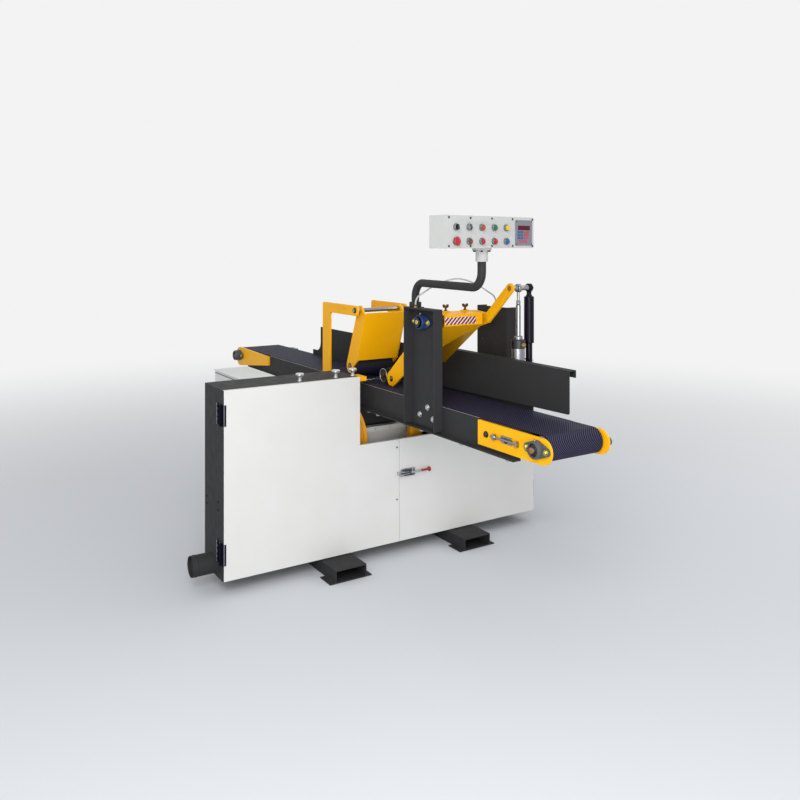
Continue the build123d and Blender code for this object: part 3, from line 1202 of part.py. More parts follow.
def control_arm():
    """Bent tube that carries the control box, with a collar on the post's cap."""
    base = (*TUBE_BASE, POST_CAP_TOP)
    corners = ((*TUBE_BASE, TUBE_RUN_Z), (*TUBE_HEAD, TUBE_RUN_Z))
    path = FilletPolyline(base, *corners, (*TUBE_HEAD, TUBE_TOP), radius=TUBE_BEND)
    tube = sweep(Plane(origin=base, z_dir=(0, 0, 1)) * Circle(TUBE_R), path=path)
    return tube + along_z(*TUBE_BASE, (POST_CAP_TOP, POST_CAP_TOP + TUBE_COLLAR), TUBE_COLLAR_R)


def box_turned(shape):
    """The same piece turned with the control box about its swivel."""
    return Pos(*TUBE_HEAD) * Rot(0, 0, BOX_TURN) * Pos(-TUBE_HEAD[0], -TUBE_HEAD[1]) * shape


def button_places():
    """Middles of the ten operators on the box's front, row by row."""
    return [(BOX_LEFT + column, BOX_TOP - down) for down in BUTTON_ROW_DOWN for column in BUTTON_COLUMNS]


def control_box():
    """Hollow box with a front panel, and the swivel socket under it."""
    wall = BOX_WALL
    x = (BOX_LEFT, BOX_LEFT + BOX_LENGTH)
    y = (BOX_FRONT, BOX_FRONT + BOX_DEPTH)
    z = (BOX_BOTTOM, BOX_TOP)
    case = block(x, (y[0] + wall, y[1]), z)
    case -= block((x[0] + wall, x[1] - wall), (y[0] + wall, y[1] - wall), (z[0] + wall, z[1] - wall))
    panel = block(x, (y[0], y[0] + wall), z)
    for hole_x, hole_z in button_places():
        panel -= along_y(hole_x, (y[0], y[0] + wall), hole_z, BUTTON_STEM_R + BUTTON_GAP)
    bottom = BOX_BOTTOM
    swivel = along_z(*TUBE_HEAD, (bottom - SWIVEL_LENGTH, bottom), SWIVEL_R)
    swivel += along_z(*TUBE_HEAD, (bottom - SWIVEL_FLANGE, bottom), SWIVEL_FLANGE_R)
    swivel -= along_z(*TUBE_HEAD, (bottom - SWIVEL_LENGTH, TUBE_TOP), TUBE_R + BEARING_GAP)
    return box_turned(group(case, panel, swivel))


def push_button(place, r):
    """Push button head in front of the panel, on a stem through it."""
    x, z = place
    gap = BUTTON_TRAVEL + BUTTON_GAP
    head = along_y(x, (BOX_FRONT - gap - BUTTON_OUT, BOX_FRONT - gap), z, r)
    return box_turned(head + along_y(x, (BOX_FRONT - gap, BOX_FRONT + BUTTON_STEM), z, BUTTON_STEM_R))


def selector(place):
    """Turning switch: a round boss and a raised bar, on a stem through the panel."""
    x, z = place
    face = BOX_FRONT - SELECTOR_BOSS
    boss = along_y(x, (face, BOX_FRONT - BUTTON_GAP), z, BUTTON_R)
    bar = block((x - SELECTOR_BAR_HALF, x + SELECTOR_BAR_HALF), (face - SELECTOR_BAR, face),
                (z - SELECTOR_BAR_REACH, z + SELECTOR_BAR_REACH))
    stem = along_y(x, (BOX_FRONT - BUTTON_GAP, BOX_FRONT + BUTTON_STEM), z, BUTTON_STEM_R)
    return box_turned(boss + bar + stem)


def corner_radii(route):
    """Arc at each inner point: a share of the shorter run, over the tangent of half the turn."""
    points = [Vector(*point) for point in route]
    radii = []
    for before, here, after in zip(points, points[1:], points[2:]):
        turn = (here - before).get_angle(after - here)
        shorter = min((here - before).length, (after - here).length)
        radii.append(ARC_SHARE * shorter / tan(radians(turn) / 2))
    return radii


def air_hose():
    """Air hose along its route, straight runs joined by tangent arcs."""
    radii = corner_radii(HOSE_ROUTE)
    path = FilletPolyline(*HOSE_ROUTE, radius=radii)
    start = Plane(origin=path @ 0, z_dir=path % 0)
    tube = sweep(start * Circle(HOSE_R), path=path)
    section = Circle(HOSE_R).area
    print("hose radii", [round(radius) for radius in radii])
    share = tube.volume / (section * path.length)
    print("hose length", round(path.length, 1), "volume share", round(share, 4))
    return tube


def hex_head(x, y, z):
    """Bolt head standing out to -X from a face at x."""
    face = Pos(y, z) * RegularPolygon(BOLT_HEX / 2, 6, major_radius=False)
    return side_plate(face, (x - BOLT_HEAD, x))


def flange_head(x, y):
    """Bolt head hanging under a rail's flange."""
    face = RegularPolygon(BOLT_HEX / 2, 6, major_radius=False)
    return Pos(x, y, RAIL_BOTTOM - BOLT_HEAD) * extrude(face, BOLT_HEAD)


def frame_bolts():
    """Hex heads on the near post, the infeed cheek plate and the near bracket, and under the rails."""
    heads = [hex_head(-POST_OUT, y, z) for y, z in POST_BOLTS]
    infeed_z = PLATE_TOP - END_PLATE_HEIGHT / 2
    for step in INFEED_BOLTS:
        heads.append(hex_head(-PLATE_OUT, INFEED_DRUM_Y + END_PLATE_TAIL - step, infeed_z))
    middle = NEAR_BRACKET_POST + BRACKET_POST_WIDTH / 2
    for z in (BRACKET_BOTTOM + BOLT_HEX, RAIL_TOP - BOLT_HEX):
        heads.append(hex_head(-RAIL_OUT - BRACKET_PLATE, middle, z))
    under = RAIL_OUT + RAIL_FLANGE / 2
    for y in FLANGE_BOLTS:
        heads += [flange_head(-under, y), flange_head(under, y)]
    return group(*heads)


PLACES = button_places()
NODES = {
    "feet": feet(),
    "cabinet_frame": cabinet_frame(),
    "back_plate": back_plate(),
    "dust_port": dust_port(),
    "lift_housing": lift_housing(),
    "screw_jack": screw_jack(),
    "electrical_cabinet": electrical_cabinet(),
    "main_motor": main_motor(),
    "drive_belts": drive_belts(),
    "belt_guard": belt_guard(),
    "arbor_housing": arbor_housing(),
    "band_blade": band_blade(),
    "guide_arm_right": guide_arm_right(),
    "door_hinges": door_hinges(),
    "guide_arm_left": guide_arm_left(),
    "clamp_knob_outer": knob(KNOB_X[0]),
    "clamp_knob_middle": knob(KNOB_X[1]),
    "clamp_knob_inner": knob(KNOB_X[2]),
    "tension_slide": tension_slide(),
    "idler_wheel": idler_wheel(),
    "drive_wheel": drive_wheel(),
    "drive_shaft": drive_shaft(),
    "motor_pulley": motor_pulley(),
    "left_door": left_door(),
    "right_door": right_door(),
    "latch_body": latch_body(),
    "latch_handle": latch_handle(),
    "conveyor_frame": conveyor_frame(),
    "conveyor_belt": conveyor_belt(),
    "end_plates": end_plates(),
    "flange_bearings": flange_bearings(),
    "infeed_drum": infeed_drum(),
    "outfeed_drum": outfeed_drum(),
    "feed_gearmotor": feed_gearmotor(),
    "lift_ram": lift_ram(),
    "posts": posts(),
    "fences": fences(),
    "gallows_brackets": gallows_brackets(),
    "frame_bolts": frame_bolts(),
    "front_arm": front_arm(),
    "front_roller": front_roller(),
    "air_cylinder": air_cylinder(),
    "cylinder_rod": cylinder_rod(),
    "damper_tube": damper_tube(),
    "damper_rod": damper_rod(),
    "rear_swing": rear_swing(),
    "rear_roller": rear_roller(),
    "control_arm": control_arm(),
    "control_box": control_box(),
    "air_hose": air_hose(),
    "selector_switch": selector(PLACES[0]),
    "key_switch": selector(PLACES[1]),
    "button_orange": push_button(PLACES[2], BUTTON_R),
    "button_green": push_button(PLACES[3], BUTTON_R),
    "button_yellow": push_button(PLACES[4], BUTTON_R),
    "emergency_stop": push_button(PLACES[5], STOP_R),
    "button_brown": push_button(PLACES[6], BUTTON_R),
    "button_red_left": push_button(PLACES[7], BUTTON_R),
    "button_red_right": push_button(PLACES[8], BUTTON_R),
    "button_blue": push_button(PLACES[9], BUTTON_R),
}

os.makedirs("parts", exist_ok=True)
for name, shape in NODES.items():
    export_step(Pos(-ORIGIN.X, -ORIGIN.Y, 0) * shape, f"parts/{name}.step")
print("nodes", len(NODES), "origin", ORIGIN)
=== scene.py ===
# %% [markdown]
# # A horizontal band resaw
# The machine is a low steel cabinet with two towers. A band blade runs round a wheel in each tower, and a
# belt conveyor carries timber through the throat between them, under two roller hold-downs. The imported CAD
# model is the fixed frame here. This lesson dresses it: camera, light, finishes, and then piece after piece.

# %% Load the frame
import json
import math

import bmesh
import bpy
import numpy as np
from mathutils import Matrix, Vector

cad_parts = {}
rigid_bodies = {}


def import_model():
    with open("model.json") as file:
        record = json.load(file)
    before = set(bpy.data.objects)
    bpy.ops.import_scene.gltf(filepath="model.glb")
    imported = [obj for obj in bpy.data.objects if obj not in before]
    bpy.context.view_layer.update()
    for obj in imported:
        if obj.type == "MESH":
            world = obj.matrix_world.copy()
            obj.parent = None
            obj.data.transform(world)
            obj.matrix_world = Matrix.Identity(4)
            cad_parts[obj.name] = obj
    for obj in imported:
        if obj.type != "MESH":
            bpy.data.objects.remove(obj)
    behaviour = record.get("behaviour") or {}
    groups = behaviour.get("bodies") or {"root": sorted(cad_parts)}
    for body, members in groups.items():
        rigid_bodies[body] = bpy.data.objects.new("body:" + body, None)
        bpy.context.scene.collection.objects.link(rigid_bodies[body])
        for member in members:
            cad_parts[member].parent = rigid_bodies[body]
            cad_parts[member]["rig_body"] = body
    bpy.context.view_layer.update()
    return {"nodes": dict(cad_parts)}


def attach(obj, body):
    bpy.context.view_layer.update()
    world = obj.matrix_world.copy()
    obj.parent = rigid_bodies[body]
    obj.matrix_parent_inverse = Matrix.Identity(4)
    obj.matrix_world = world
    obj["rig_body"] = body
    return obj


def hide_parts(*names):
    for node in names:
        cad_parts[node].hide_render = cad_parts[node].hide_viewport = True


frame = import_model()
scene = bpy.context.scene

# %% [markdown]
# The drawing of the machine is in millimetres, with X along the cabinet, Y the feed direction from the door
# fronts, and Z up. The frame is in metres about the middle of the machine's box. One function turns the
# first into the second, so every size below reads as on the drawing.

# %% Machine millimetres to metres
MACHINE_MIDDLE = np.array([-51.75, 306.0, 0.0])


def metres(points):
    """Subtract the middle of the machine's box, then divide by a thousand."""
    return (np.asarray(points, float) - MACHINE_MIDDLE) / 1000


# %% [markdown]
# The photograph was taken standing, from the left of the infeed end. Uprights are parallel in it, so the
# camera is level, and the picture is shifted down instead of tilted.

# %% Camera
EYE = (-2371.31, -3760.14, 1721.18)
VIEW_TURN = -32.42
FOCAL_PIXELS = 802.11
HORIZON_PIXEL = 243.84
PICTURE = 800

lens = bpy.data.cameras.new("camera")
lens.sensor_width = 36
lens.lens = lens.sensor_width * FOCAL_PIXELS / PICTURE
lens.shift_y = (HORIZON_PIXEL - PICTURE / 2) / PICTURE
camera = bpy.data.objects.new("camera", lens)
camera.location = metres(EYE)
camera.rotation_euler = (math.radians(90), 0, math.radians(VIEW_TURN))
scene.collection.objects.link(camera)
scene.camera = camera
print("lens", round(lens.lens, 2), "shift", round(lens.shift_y, 4))

# %% [markdown]
# The air hose is a thin nylon tube that arches from the fitting on the near post's cap to the one on the far
# post. It stands by its own stiffness, so it is one smooth NURBS curve through the air. Each point has the
# tube's own radius on a bevel of one metre, because the radius counts in the curve's box.

# %% Air hose
HOSE_ROUTE = [
    (-191, -470, 1422), (-191, -470, 1454), (-150, -478, 1480), (-97, -489, 1512), (-34, -502, 1537),
    (27, -514, 1549), (87, -526, 1538), (148, -539, 1512), (203, -550, 1476), (244, -558, 1450),
    (244, -558, 1414),
]
HOSE_DIAMETER = 0.008

hose_line = bpy.data.curves.new("air_hose_line", "CURVE")
hose_line.dimensions = "3D"
hose_line.bevel_depth = 1.0
hose_line.bevel_resolution = 4
hose_line.resolution_u = 10
hose_line.use_fill_caps = True
run = hose_line.splines.new("NURBS")
run.points.add(len(HOSE_ROUTE) - 1)
run.points.foreach_set("co", np.c_[metres(HOSE_ROUTE), np.ones(len(HOSE_ROUTE))].ravel())
run.points.foreach_set("radius", np.full(len(HOSE_ROUTE), HOSE_DIAMETER / 2))
run.order_u = 3
run.use_endpoint_u = True
air_hose = bpy.data.objects.new("air_hose_nylon", hose_line)
scene.collection.objects.link(air_hose)
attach(air_hose, "conveyor")
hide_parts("air_hose")
print("hose points", len(HOSE_ROUTE))

# %% [markdown]
# Finishes are node trees. Colours are written as the sRGB values one reads off a paint card, and one
# function makes them linear for the shader. Small functions add a node, a noise, and what noises do to a
# shader.

# %% Colour and node helpers
def tone(card):
    """An sRGB hex value to linear colour: the low end is a straight line, the rest a power of 2.4."""
    value = np.array([int(card[i:i + 2], 16) for i in (0, 2, 4)]) / 255
    linear = np.where(value <= 0.04045, value / 12.92, ((value + 0.055) / 1.055) ** 2.4)
    return (*linear.tolist(), 1.0)


def add(tree, kind, links=None, **settings):
    """Adds one node. links gives each input, by name or number, a value or another node's output."""
    made = tree.nodes.new(kind)
    for key, value in settings.items():
        setattr(made, key, value)
    for key, value in (links or {}).items():
        if isinstance(value, bpy.types.NodeSocket):
            tree.links.new(value, made.inputs[key])
        else:
            made.inputs[key].default_value = value
    return made


def finish(name, **sockets):
    """A material with a shader whose sockets are set straight. Returns the material, its tree and shader."""
    material = bpy.data.materials.new(name)
    material.use_nodes = True
    tree = material.node_tree
    shader = tree.nodes["Principled BSDF"]
    for key, value in sockets.items():
        shader.inputs[key.replace("_", " ")].default_value = value
    return material, tree, shader


def noise(tree, where, size, detail):
    """Noise whose pattern repeats after that many millimetres, on coordinates in metres."""
    made = add(tree, "ShaderNodeTexNoise", {"Vector": where, "Scale": 1000 / size, "Detail": detail})
    return made.outputs["Fac"]


def wander(tree, shader, tones, gloss, relief, noises):
    """Puts three noises to work: the first mixes two tones, the second moves the roughness between two
    limits, the third lifts the surface. relief is the strength of that bump and its height in metres."""
    clouds, haze, grain = noises
    colour = add(tree, "ShaderNodeMix", {0: clouds, 6: tone(tones[1]), 7: tone(tones[0])}, data_type="RGBA")
    rough = add(tree, "ShaderNodeMapRange", {"Value": haze, "From Min": 0.3, "From Max": 0.7,
                                             "To Min": gloss[0], "To Max": gloss[1]})
    bump = add(tree, "ShaderNodeBump", {"Strength": relief[0], "Distance": relief[1], "Height": grain})
    tree.links.new(colour.outputs[2], shader.inputs["Base Color"])
    tree.links.new(rough.outputs[0], shader.inputs["Roughness"])
    tree.links.new(bump.outputs[0], shader.inputs["Normal"])


# %% [markdown]
# The studio is a pale floor that fades into a pale wall, with a large soft lamp on the left, a weaker one on
# the right, and a low one in front that opens up the undersides. What the camera and the shiny metals see of
# the surroundings is the pale wall; what lights the machine is a dimmer grey, so that colours come out about
# as they are written.

# %% Studio
WALL = "f3f3f3"
FLOOR_NEAR = "cdd0d5"
FLOOR_FADE = (1.0, 8.5)
FLOOR_HALF = 40.0
SKY_LIGHT = 0.72


def plain_rays(tree):
    """1 for rays from the camera, off shiny surfaces and through clear ones; 0 for the light they give."""
    path = add(tree, "ShaderNodeLightPath")
    seen = add(tree, "ShaderNodeMath", {0: path.outputs["Is Camera Ray"], 1: path.outputs["Is Glossy Ray"]},
               operation="MAXIMUM")
    return add(tree, "ShaderNodeMath", {0: seen.outputs[0], 1: path.outputs["Is Transmission Ray"]},
               operation="MAXIMUM").outputs[0]


world = bpy.data.worlds.new("studio")
world.use_nodes = True
scene.world = world
sky = world.node_tree
lit = sky.nodes["Background"]
lit.inputs["Color"].default_value = (1, 1, 1, 1)
lit.inputs["Strength"].default_value = SKY_LIGHT
wall = add(sky, "ShaderNodeBackground", {"Color": tone(WALL), "Strength": 1.0})
either = add(sky, "ShaderNodeMixShader", {0: plain_rays(sky), 1: lit.outputs[0], 2: wall.outputs[0]})
sky.links.new(either.outputs[0], sky.nodes["World Output"].inputs["Surface"])

floor_paint, tree, shader = finish("studio_floor", Roughness=0.9, Base_Color=tone(FLOOR_NEAR))
shader.inputs["Specular IOR Level"].default_value = 0.0
where = add(tree, "ShaderNodeTexCoord")
away = add(tree, "ShaderNodeVectorMath", {0: where.outputs["Object"]}, operation="LENGTH")
fade = add(tree, "ShaderNodeMapRange", {"Value": away.outputs["Value"], "From Min": FLOOR_FADE[0],
                                        "From Max": FLOOR_FADE[1]}, interpolation_type="SMOOTHSTEP")
shown = add(tree, "ShaderNodeMath", {0: fade.outputs[0], 1: plain_rays(tree)}, operation="MULTIPLY")
far_floor = add(tree, "ShaderNodeEmission", {"Color": tone(WALL), "Strength": 1.0})
both = add(tree, "ShaderNodeMixShader", {0: shown.outputs[0], 1: shader.outputs[0], 2: far_floor.outputs[0]})
tree.links.new(both.outputs[0], tree.nodes["Material Output"].inputs["Surface"])

floor_mesh = bpy.data.meshes.new("floor")
floor_corners = FLOOR_HALF * np.array([(-1, -1, 0), (1, -1, 0), (1, 1, 0), (-1, 1, 0)])
floor_mesh.from_pydata(floor_corners, [], [(0, 1, 2, 3)])
floor_mesh.materials.append(floor_paint)
floor = bpy.data.objects.new("floor", floor_mesh)
scene.collection.objects.link(floor)


def soft_lamp(name, place, target, size, power):
    """A square area lamp that looks at a point."""
    lamp = bpy.data.lights.new(name, "AREA")
    lamp.size = size
    lamp.energy = power
    held = bpy.data.objects.new(name, lamp)
    held.location = place
    held.rotation_euler = (Vector(place) - Vector(target)).to_track_quat("Z", "Y").to_euler()
    scene.collection.objects.link(held)


soft_lamp("lamp_left", (-2.9, -4.0, 3.3), (0, -0.2, 0.6), 2.6, 128)
soft_lamp("lamp_right", (4.2, -1.5, 3.2), (0, 0, 0.8), 2.6, 40)
soft_lamp("lamp_low", (-1.7, -4.4, 0.9), (0, 0, 1.1), 2.2, 56)
scene.view_settings.view_transform = "Standard"

# %% [markdown]
# New pieces are surfaces worked out as whole arrays. A shape here is a pair: the points in machine
# millimetres, and a list of face arrays. A few makers cover this machine: a lathe, a plate cut from an
# outline, a bar bent along a path, and heads of bolts and screws.

# %% Shape makers
RIGHT = (1, 0, 0)
LEFT = (-1, 0, 0)
BACK = (0, 1, 0)
OUT = (0, -1, 0)
UP = (0, 0, 1)
DOWN = (0, 0, -1)


def spread(side, near, far):
    """Limits on one side of the machine's middle, 1 for the right and -1 for the left, the lower first."""
    return sorted((side * near, side * far))


def grid_faces(rows, columns, loop=False):
    """Quads between each ring of points and the next; with loop the last ring joins the first."""
    i = np.arange(rows if loop else rows - 1)[:, None]
    j = np.arange(columns)[None, :]
    right = (j + 1) % columns
    down = (i + 1) % rows
    corners = [i * columns + j, i * columns + right, down * columns + right, down * columns + j]
    return np.stack(corners, -1).reshape(-1, 4)


def skin(rows, loop=False):
    """Closed surface over rings of points: capped at both ends, or with loop joined to itself."""
    rows = np.asarray(rows, float)
    count, steps = rows.shape[:2]
    caps = [] if loop else [np.arange(steps)[None, ::-1], np.arange(steps)[None] + (count - 1) * steps]
    return rows.reshape(-1, 3), [grid_faces(count, steps, loop)] + caps


def square_frame(axis):
    """A unit vector along the axis, and two more square to it and to each other."""
    axis = np.asarray(axis, float) / np.linalg.norm(axis)
    other = np.array([0, 0, 1.0]) if abs(axis[2]) < 0.9 else np.array([0, 1.0, 0])
    u = np.cross(other, axis)
    u /= np.linalg.norm(u)
    return axis, u, np.cross(axis, u)


def turned(profile, start, axis, steps=40, tube=False):
    """Lathe shape: each profile point (way along the axis, radius) sweeps a circle round the axis from its
    start. A tube's profile is the closed outline of its wall."""
    axis, u, v = square_frame(axis)
    along, radius = np.asarray(profile, float).T
    angle = np.linspace(0, 2 * np.pi, steps, endpoint=False)
    circle = np.cos(angle)[:, None] * u + np.sin(angle)[:, None] * v
    rows = np.asarray(start, float) + along[:, None, None] * axis + radius[:, None, None] * circle[None]
    return skin(rows, loop=tube)


def plate(outline, span, thick="x"):
    """A flat outline carried straight between two levels along one axis, with a cap on each."""
    place = "xyz".index(thick)
    return skin(np.stack([np.insert(np.asarray(outline, float), place, level, axis=1) for level in span]))


def bar(path, radius, steps=14, side=(0, 0, 1)):
    """A round bar: a circle at each point of the path, square to the way on, steadied by a side vector."""
    path = np.asarray(path, float)
    way = np.gradient(path, axis=0)
    way /= np.linalg.norm(way, axis=1, keepdims=True)
    u = np.cross(way, side)
    u /= np.linalg.norm(u, axis=1, keepdims=True)
    v = np.cross(way, u)
    angle = np.linspace(0, 2 * np.pi, steps, endpoint=False)[None, :, None]
    radius = np.broadcast_to(radius, len(path))[:, None, None]
    return skin(path[:, None] + radius * (np.cos(angle) * u[:, None] + np.sin(angle) * v[:, None]))


def stood(shape, place, axis):
    """A shape drawn round Z, moved to a place with its Z along an axis."""
    axis, u, v = square_frame(axis)
    points = shape[0] @ np.stack([u, v, axis])
    return np.asarray(place, float) + points, shape[1]


def in_finish(which, shapes):
    """The same shapes, marked to take another of their piece's finishes."""
    return [(shape[0], shape[1], which) for shape in shapes]


def ring_line(centre, radius, steps=32, start=0.0):
    """Points of a circle, or of a regular polygon when the steps are few."""
    angle = start + np.linspace(0, 2 * np.pi, steps, endpoint=False)
    return np.asarray(centre, float) + np.stack([radius * np.cos(angle), radius * np.sin(angle)], -1)


def eased(corners, radius, steps=6):
    """An outline with its corners eased: at each, a parabola between points a radius along both edges."""
    here = np.asarray(corners, float)
    before = np.roll(here, 1, axis=0) - here
    after = np.roll(here, -1, axis=0) - here
    reach = np.broadcast_to(radius, len(here)).astype(float)[:, None]
    start = here + before / np.linalg.norm(before, axis=1, keepdims=True) * reach
    end = here + after / np.linalg.norm(after, axis=1, keepdims=True) * reach
    t = np.linspace(0, 1, steps)[None, :, None]
    curve = (1 - t) ** 2 * start[:, None] + 2 * t * (1 - t) * here[:, None] + t ** 2 * end[:, None]
    return curve.reshape(-1, 2)


def box_line(x, y):
    """The four corners of a rectangle between limits."""
    return np.array([(x[0], y[0]), (x[1], y[0]), (x[1], y[1]), (x[0], y[1])], float)


def tile(across, up, span, thick, corner=0.0):
    """A rectangular plate between limits, its corners eased."""
    outline = box_line(across, up)
    return plate(eased(outline, corner) if corner else outline, span, thick)


def block(x, y, z, corner=2.0):
    """A block between limits, its upright corners eased."""
    return tile(x, y, z, "z", corner)


def hex_bolt(place, axis, across=22.0, height=9.0, washer=15.0):
    """A bolt head: a washer, then a hexagon whose top corners a cone has eased."""
    corner = across / math.sqrt(3)
    rows = [(0, corner), (0.78 * height, corner), (height, 0.46 * across)]
    head = skin([np.c_[ring_line((0, 0), radius, 6), np.full(6, level)] for level, radius in rows])
    ring = turned([(0, washer), (0.2 * height, washer)], (0, 0, 0), UP, 24)
    return [stood(shape, place, axis) for shape in (ring, head)]


def hex_bolts(places, axis, *sizes):
    """Equal bolt heads at several places."""
    return [shape for place in places for shape in hex_bolt(place, axis, *sizes)]


def cap_screw(place, axis, radius, height):
    """A round screw head with a socket sunk in it."""
    profile = [(0, radius), (0.8 * height, radius), (height, 0.85 * radius), (height, 0.5 * radius),
               (0.4 * height, 0.45 * radius)]
    return turned(profile, place, axis, 16)


# %% [markdown]
# A piece is one object with its place in its mesh. Its points are merged, its faces turned outwards, and its
# edges get a small bevel, because no real edge is knife sharp and the bevel is what catches the light.

# %% Pieces
SHARP = math.radians(32)


def dress(made, body, stands_for=(), bevel=0.0, segments=2):
    """Puts an object in the scene on its body, with a bevel in millimetres, and hides the nodes it stands
    for.
    """
    scene.collection.objects.link(made)
    if bevel:
        soft = made.modifiers.new("edge", "BEVEL")
        soft.width = bevel / 1000
        soft.segments = segments
        soft.limit_method = "ANGLE"
        soft.angle_limit = SHARP
        soft.harden_normals = True
    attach(made, body)
    if stands_for:
        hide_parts(*stands_for)
    return made


def smooth_faces(mesh):
    """Smooth shading, with edges that turn by more than the sharp angle kept hard."""
    mesh.shade_smooth()
    mesh.set_sharp_from_angle(angle=SHARP)


def give(mesh, finishes):
    """Lists one finish or several on a mesh."""
    for material in finishes if isinstance(finishes, list) else [finishes]:
        mesh.materials.append(material)


def piece(name, shapes, finishes, body, stands_for=(), bevel=0.0):
    """An object from shapes; each shape may name, as a third item, which of the finishes it takes."""
    mesh = bpy.data.meshes.new(name)
    counts = np.cumsum([0] + [len(shape[0]) for shape in shapes])
    points = metres(np.concatenate([shape[0] for shape in shapes]))
    faces = []
    paint = []
    for start, shape in zip(counts, shapes):
        rows = [row for part in shape[1] for row in (part + start).tolist()]
        faces += rows
        paint += [shape[2] if len(shape) > 2 else 0] * len(rows)
    mesh.from_pydata(points, [], faces)
    mesh.polygons.foreach_set("material_index", paint)
    give(mesh, finishes)
    work = bmesh.new()
    work.from_mesh(mesh)
    bmesh.ops.remove_doubles(work, verts=work.verts, dist=1e-6)
    bmesh.ops.recalc_face_normals(work, faces=work.faces)
    work.to_mesh(mesh)
    work.free()
    smooth_faces(mesh)
    return dress(bpy.data.objects.new(name, mesh), body, stands_for, bevel)


def softened(node, finishes, bevel=1.2, areas=(), join=True):
    """A copy of a CAD node with merged points, joined flat faces and eased edges, standing for the node.
    Rings are not joined, because a joined face can't have a hole.
    Each area is (which finish, lowest corner, highest corner): faces whose middle is in it take that finish,
    or are left out where it is None, because a finer piece is there."""
    mesh = bpy.data.meshes.new(node + "_soft")
    work = bmesh.new()
    work.from_mesh(frame["nodes"][node].data)
    bmesh.ops.remove_doubles(work, verts=work.verts, dist=2e-5)
    if join:
        bmesh.ops.dissolve_limit(work, angle_limit=math.radians(0.6), verts=work.verts, edges=work.edges)
    work.to_mesh(mesh)
    work.free()
    mesh.materials.clear()
    give(mesh, finishes)
    middle = np.zeros(len(mesh.polygons) * 3)
    mesh.polygons.foreach_get("center", middle)
    middle = middle.reshape(-1, 3)
    paint = np.zeros(len(middle), int)
    gone = np.zeros(len(middle), bool)
    for which, low, high in areas:
        inside = ((middle >= metres(low)) & (middle <= metres(high))).all(1)
        gone |= inside & (which is None)
        paint[inside] = which or 0
    mesh.polygons.foreach_set("material_index", paint)
    if gone.any():
        work = bmesh.new()
        work.from_mesh(mesh)
        work.faces.ensure_lookup_table()
        bmesh.ops.delete(work, geom=[work.faces[i] for i in np.flatnonzero(gone)], context="FACES")
        work.to_mesh(mesh)
        work.free()
    smooth_faces(mesh)
    body = frame["nodes"][node]["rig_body"]
    return dress(bpy.data.objects.new(node + "_soft", mesh), body, (node,), bevel)

# %% [markdown]
# Most of the machine is steel sheet with baked powder paint. Powder flows out to a faint orange peel of two
# or three millimetres, its gloss varies a little from place to place, and its colour is nearly even. The
# yellow castings and weldments have a wetter enamel with more gloss.

# %% Painted steel
def painted(name, card, shade, roughness, peel_size=2.6, peel=0.10, coat=0.0, shine=0.2):
    """Paint: two near colours in broad clouds, hazy gloss, and an orange peel of peel_size millimetres."""
    material, tree, shader = finish(name, Coat_Weight=coat, Coat_Roughness=0.12, Specular_IOR_Level=shine)
    where = add(tree, "ShaderNodeTexCoord").outputs["Object"]
    noises = [noise(tree, where, size, detail) for size, detail in ((160, 3.0), (45, 5.0), (peel_size, 1.0))]
    wander(tree, shader, (card, shade), (roughness - 0.05, roughness + 0.07), (peel, 0.0004), noises)
    return material


charcoal = painted("charcoal_powder_coat", "363637", "2f2f30", 0.55, shine=0.08)
white_door = painted("white_powder_coat", "d6d6d4", "d0d0cd", 0.40)
light_grey = painted("light_grey_powder_coat", "b9bab8", "b2b3b1", 0.40, shine=0.15)
pale_grey = painted("pale_grey_powder_coat", "d0d5d3", "c9cecc", 0.40)
yellow = painted("yellow_enamel", "f8b50c", "f0ab0a", 0.34, coat=0.03, shine=0.10)
housing_grey = painted("grey_machine_paint", "d4d5d0", "cacbc6", 0.45)
motor_blue = painted("blue_grey_motor_enamel", "5b6570", "525c66", 0.38, coat=0.2)
bearing_blue = painted("blue_casting_enamel", "27406e", "1c2f55", 0.34, peel_size=4.0, peel=0.3)
bearing_grey = painted("grey_casting_enamel", "55595a", "4a4e50", 0.42, peel_size=4.0, peel=0.3)
wheel_paint = painted("yellow_wheel_enamel", "f0a51e", "e29a18", 0.36)

# %% [markdown]
# Bare metals: zinc-plated fasteners with a soft frosty mottle, ground steel with fine scratches, hard chrome
# on rods, anodised aluminium on the cylinder, brass on the fittings. Metals keep the default index of
# refraction.

# %% Bare metals
def metal(name, card, shade, roughness, mottle, stretch=(1, 1, 1), scratch=0.05):
    """Metal: near colours and a changing gloss on a mottle of so many millimetres, drawn out by stretch."""
    material, tree, shader = finish(name, Metallic=1.0)
    where = add(tree, "ShaderNodeTexCoord").outputs["Object"]
    drawn = add(tree, "ShaderNodeMapping", {"Vector": where, "Scale": stretch}).outputs[0]
    noises = [noise(tree, drawn, mottle, 4.0)] * 3
    wander(tree, shader, (card, shade), (0.75 * roughness, 1.25 * roughness), (scratch, 0.0002), noises)
    return material


steel = metal("ground_steel", "a7a9ab", "8b8d90", 0.30, 3.0, stretch=(0.2, 1, 1))
zinc = metal("zinc_plating", "c6c9cc", "a9adb2", 0.30, 5.0)
die_cast = metal("satin_zinc_die_casting", "e4e6e8", "d4d7da", 0.52, 6.0)
bronze = metal("dark_bronze", "6e5526", "4c3a1a", 0.36, 4.0)
chrome = metal("hard_chrome", "a0a3a8", "92959a", 0.12, 20.0)
aluminium = metal("anodised_aluminium", "8e9092", "808286", 0.36, 2.5, stretch=(1, 1, 0.1))
brass = metal("brass", "c9a25a", "b48c43", 0.26, 4.0)
yellow_zinc = metal("yellow_zinc_plating", "d2c268", "b7a548", 0.30, 5.0)
blade_steel = metal("spring_steel_strip", "9fa3a8", "84888d", 0.24, 2.0, stretch=(0.08, 1, 1))
dark_steel = metal("blackened_steel", "4a4a4e", "3a3a3e", 0.42, 4.0)
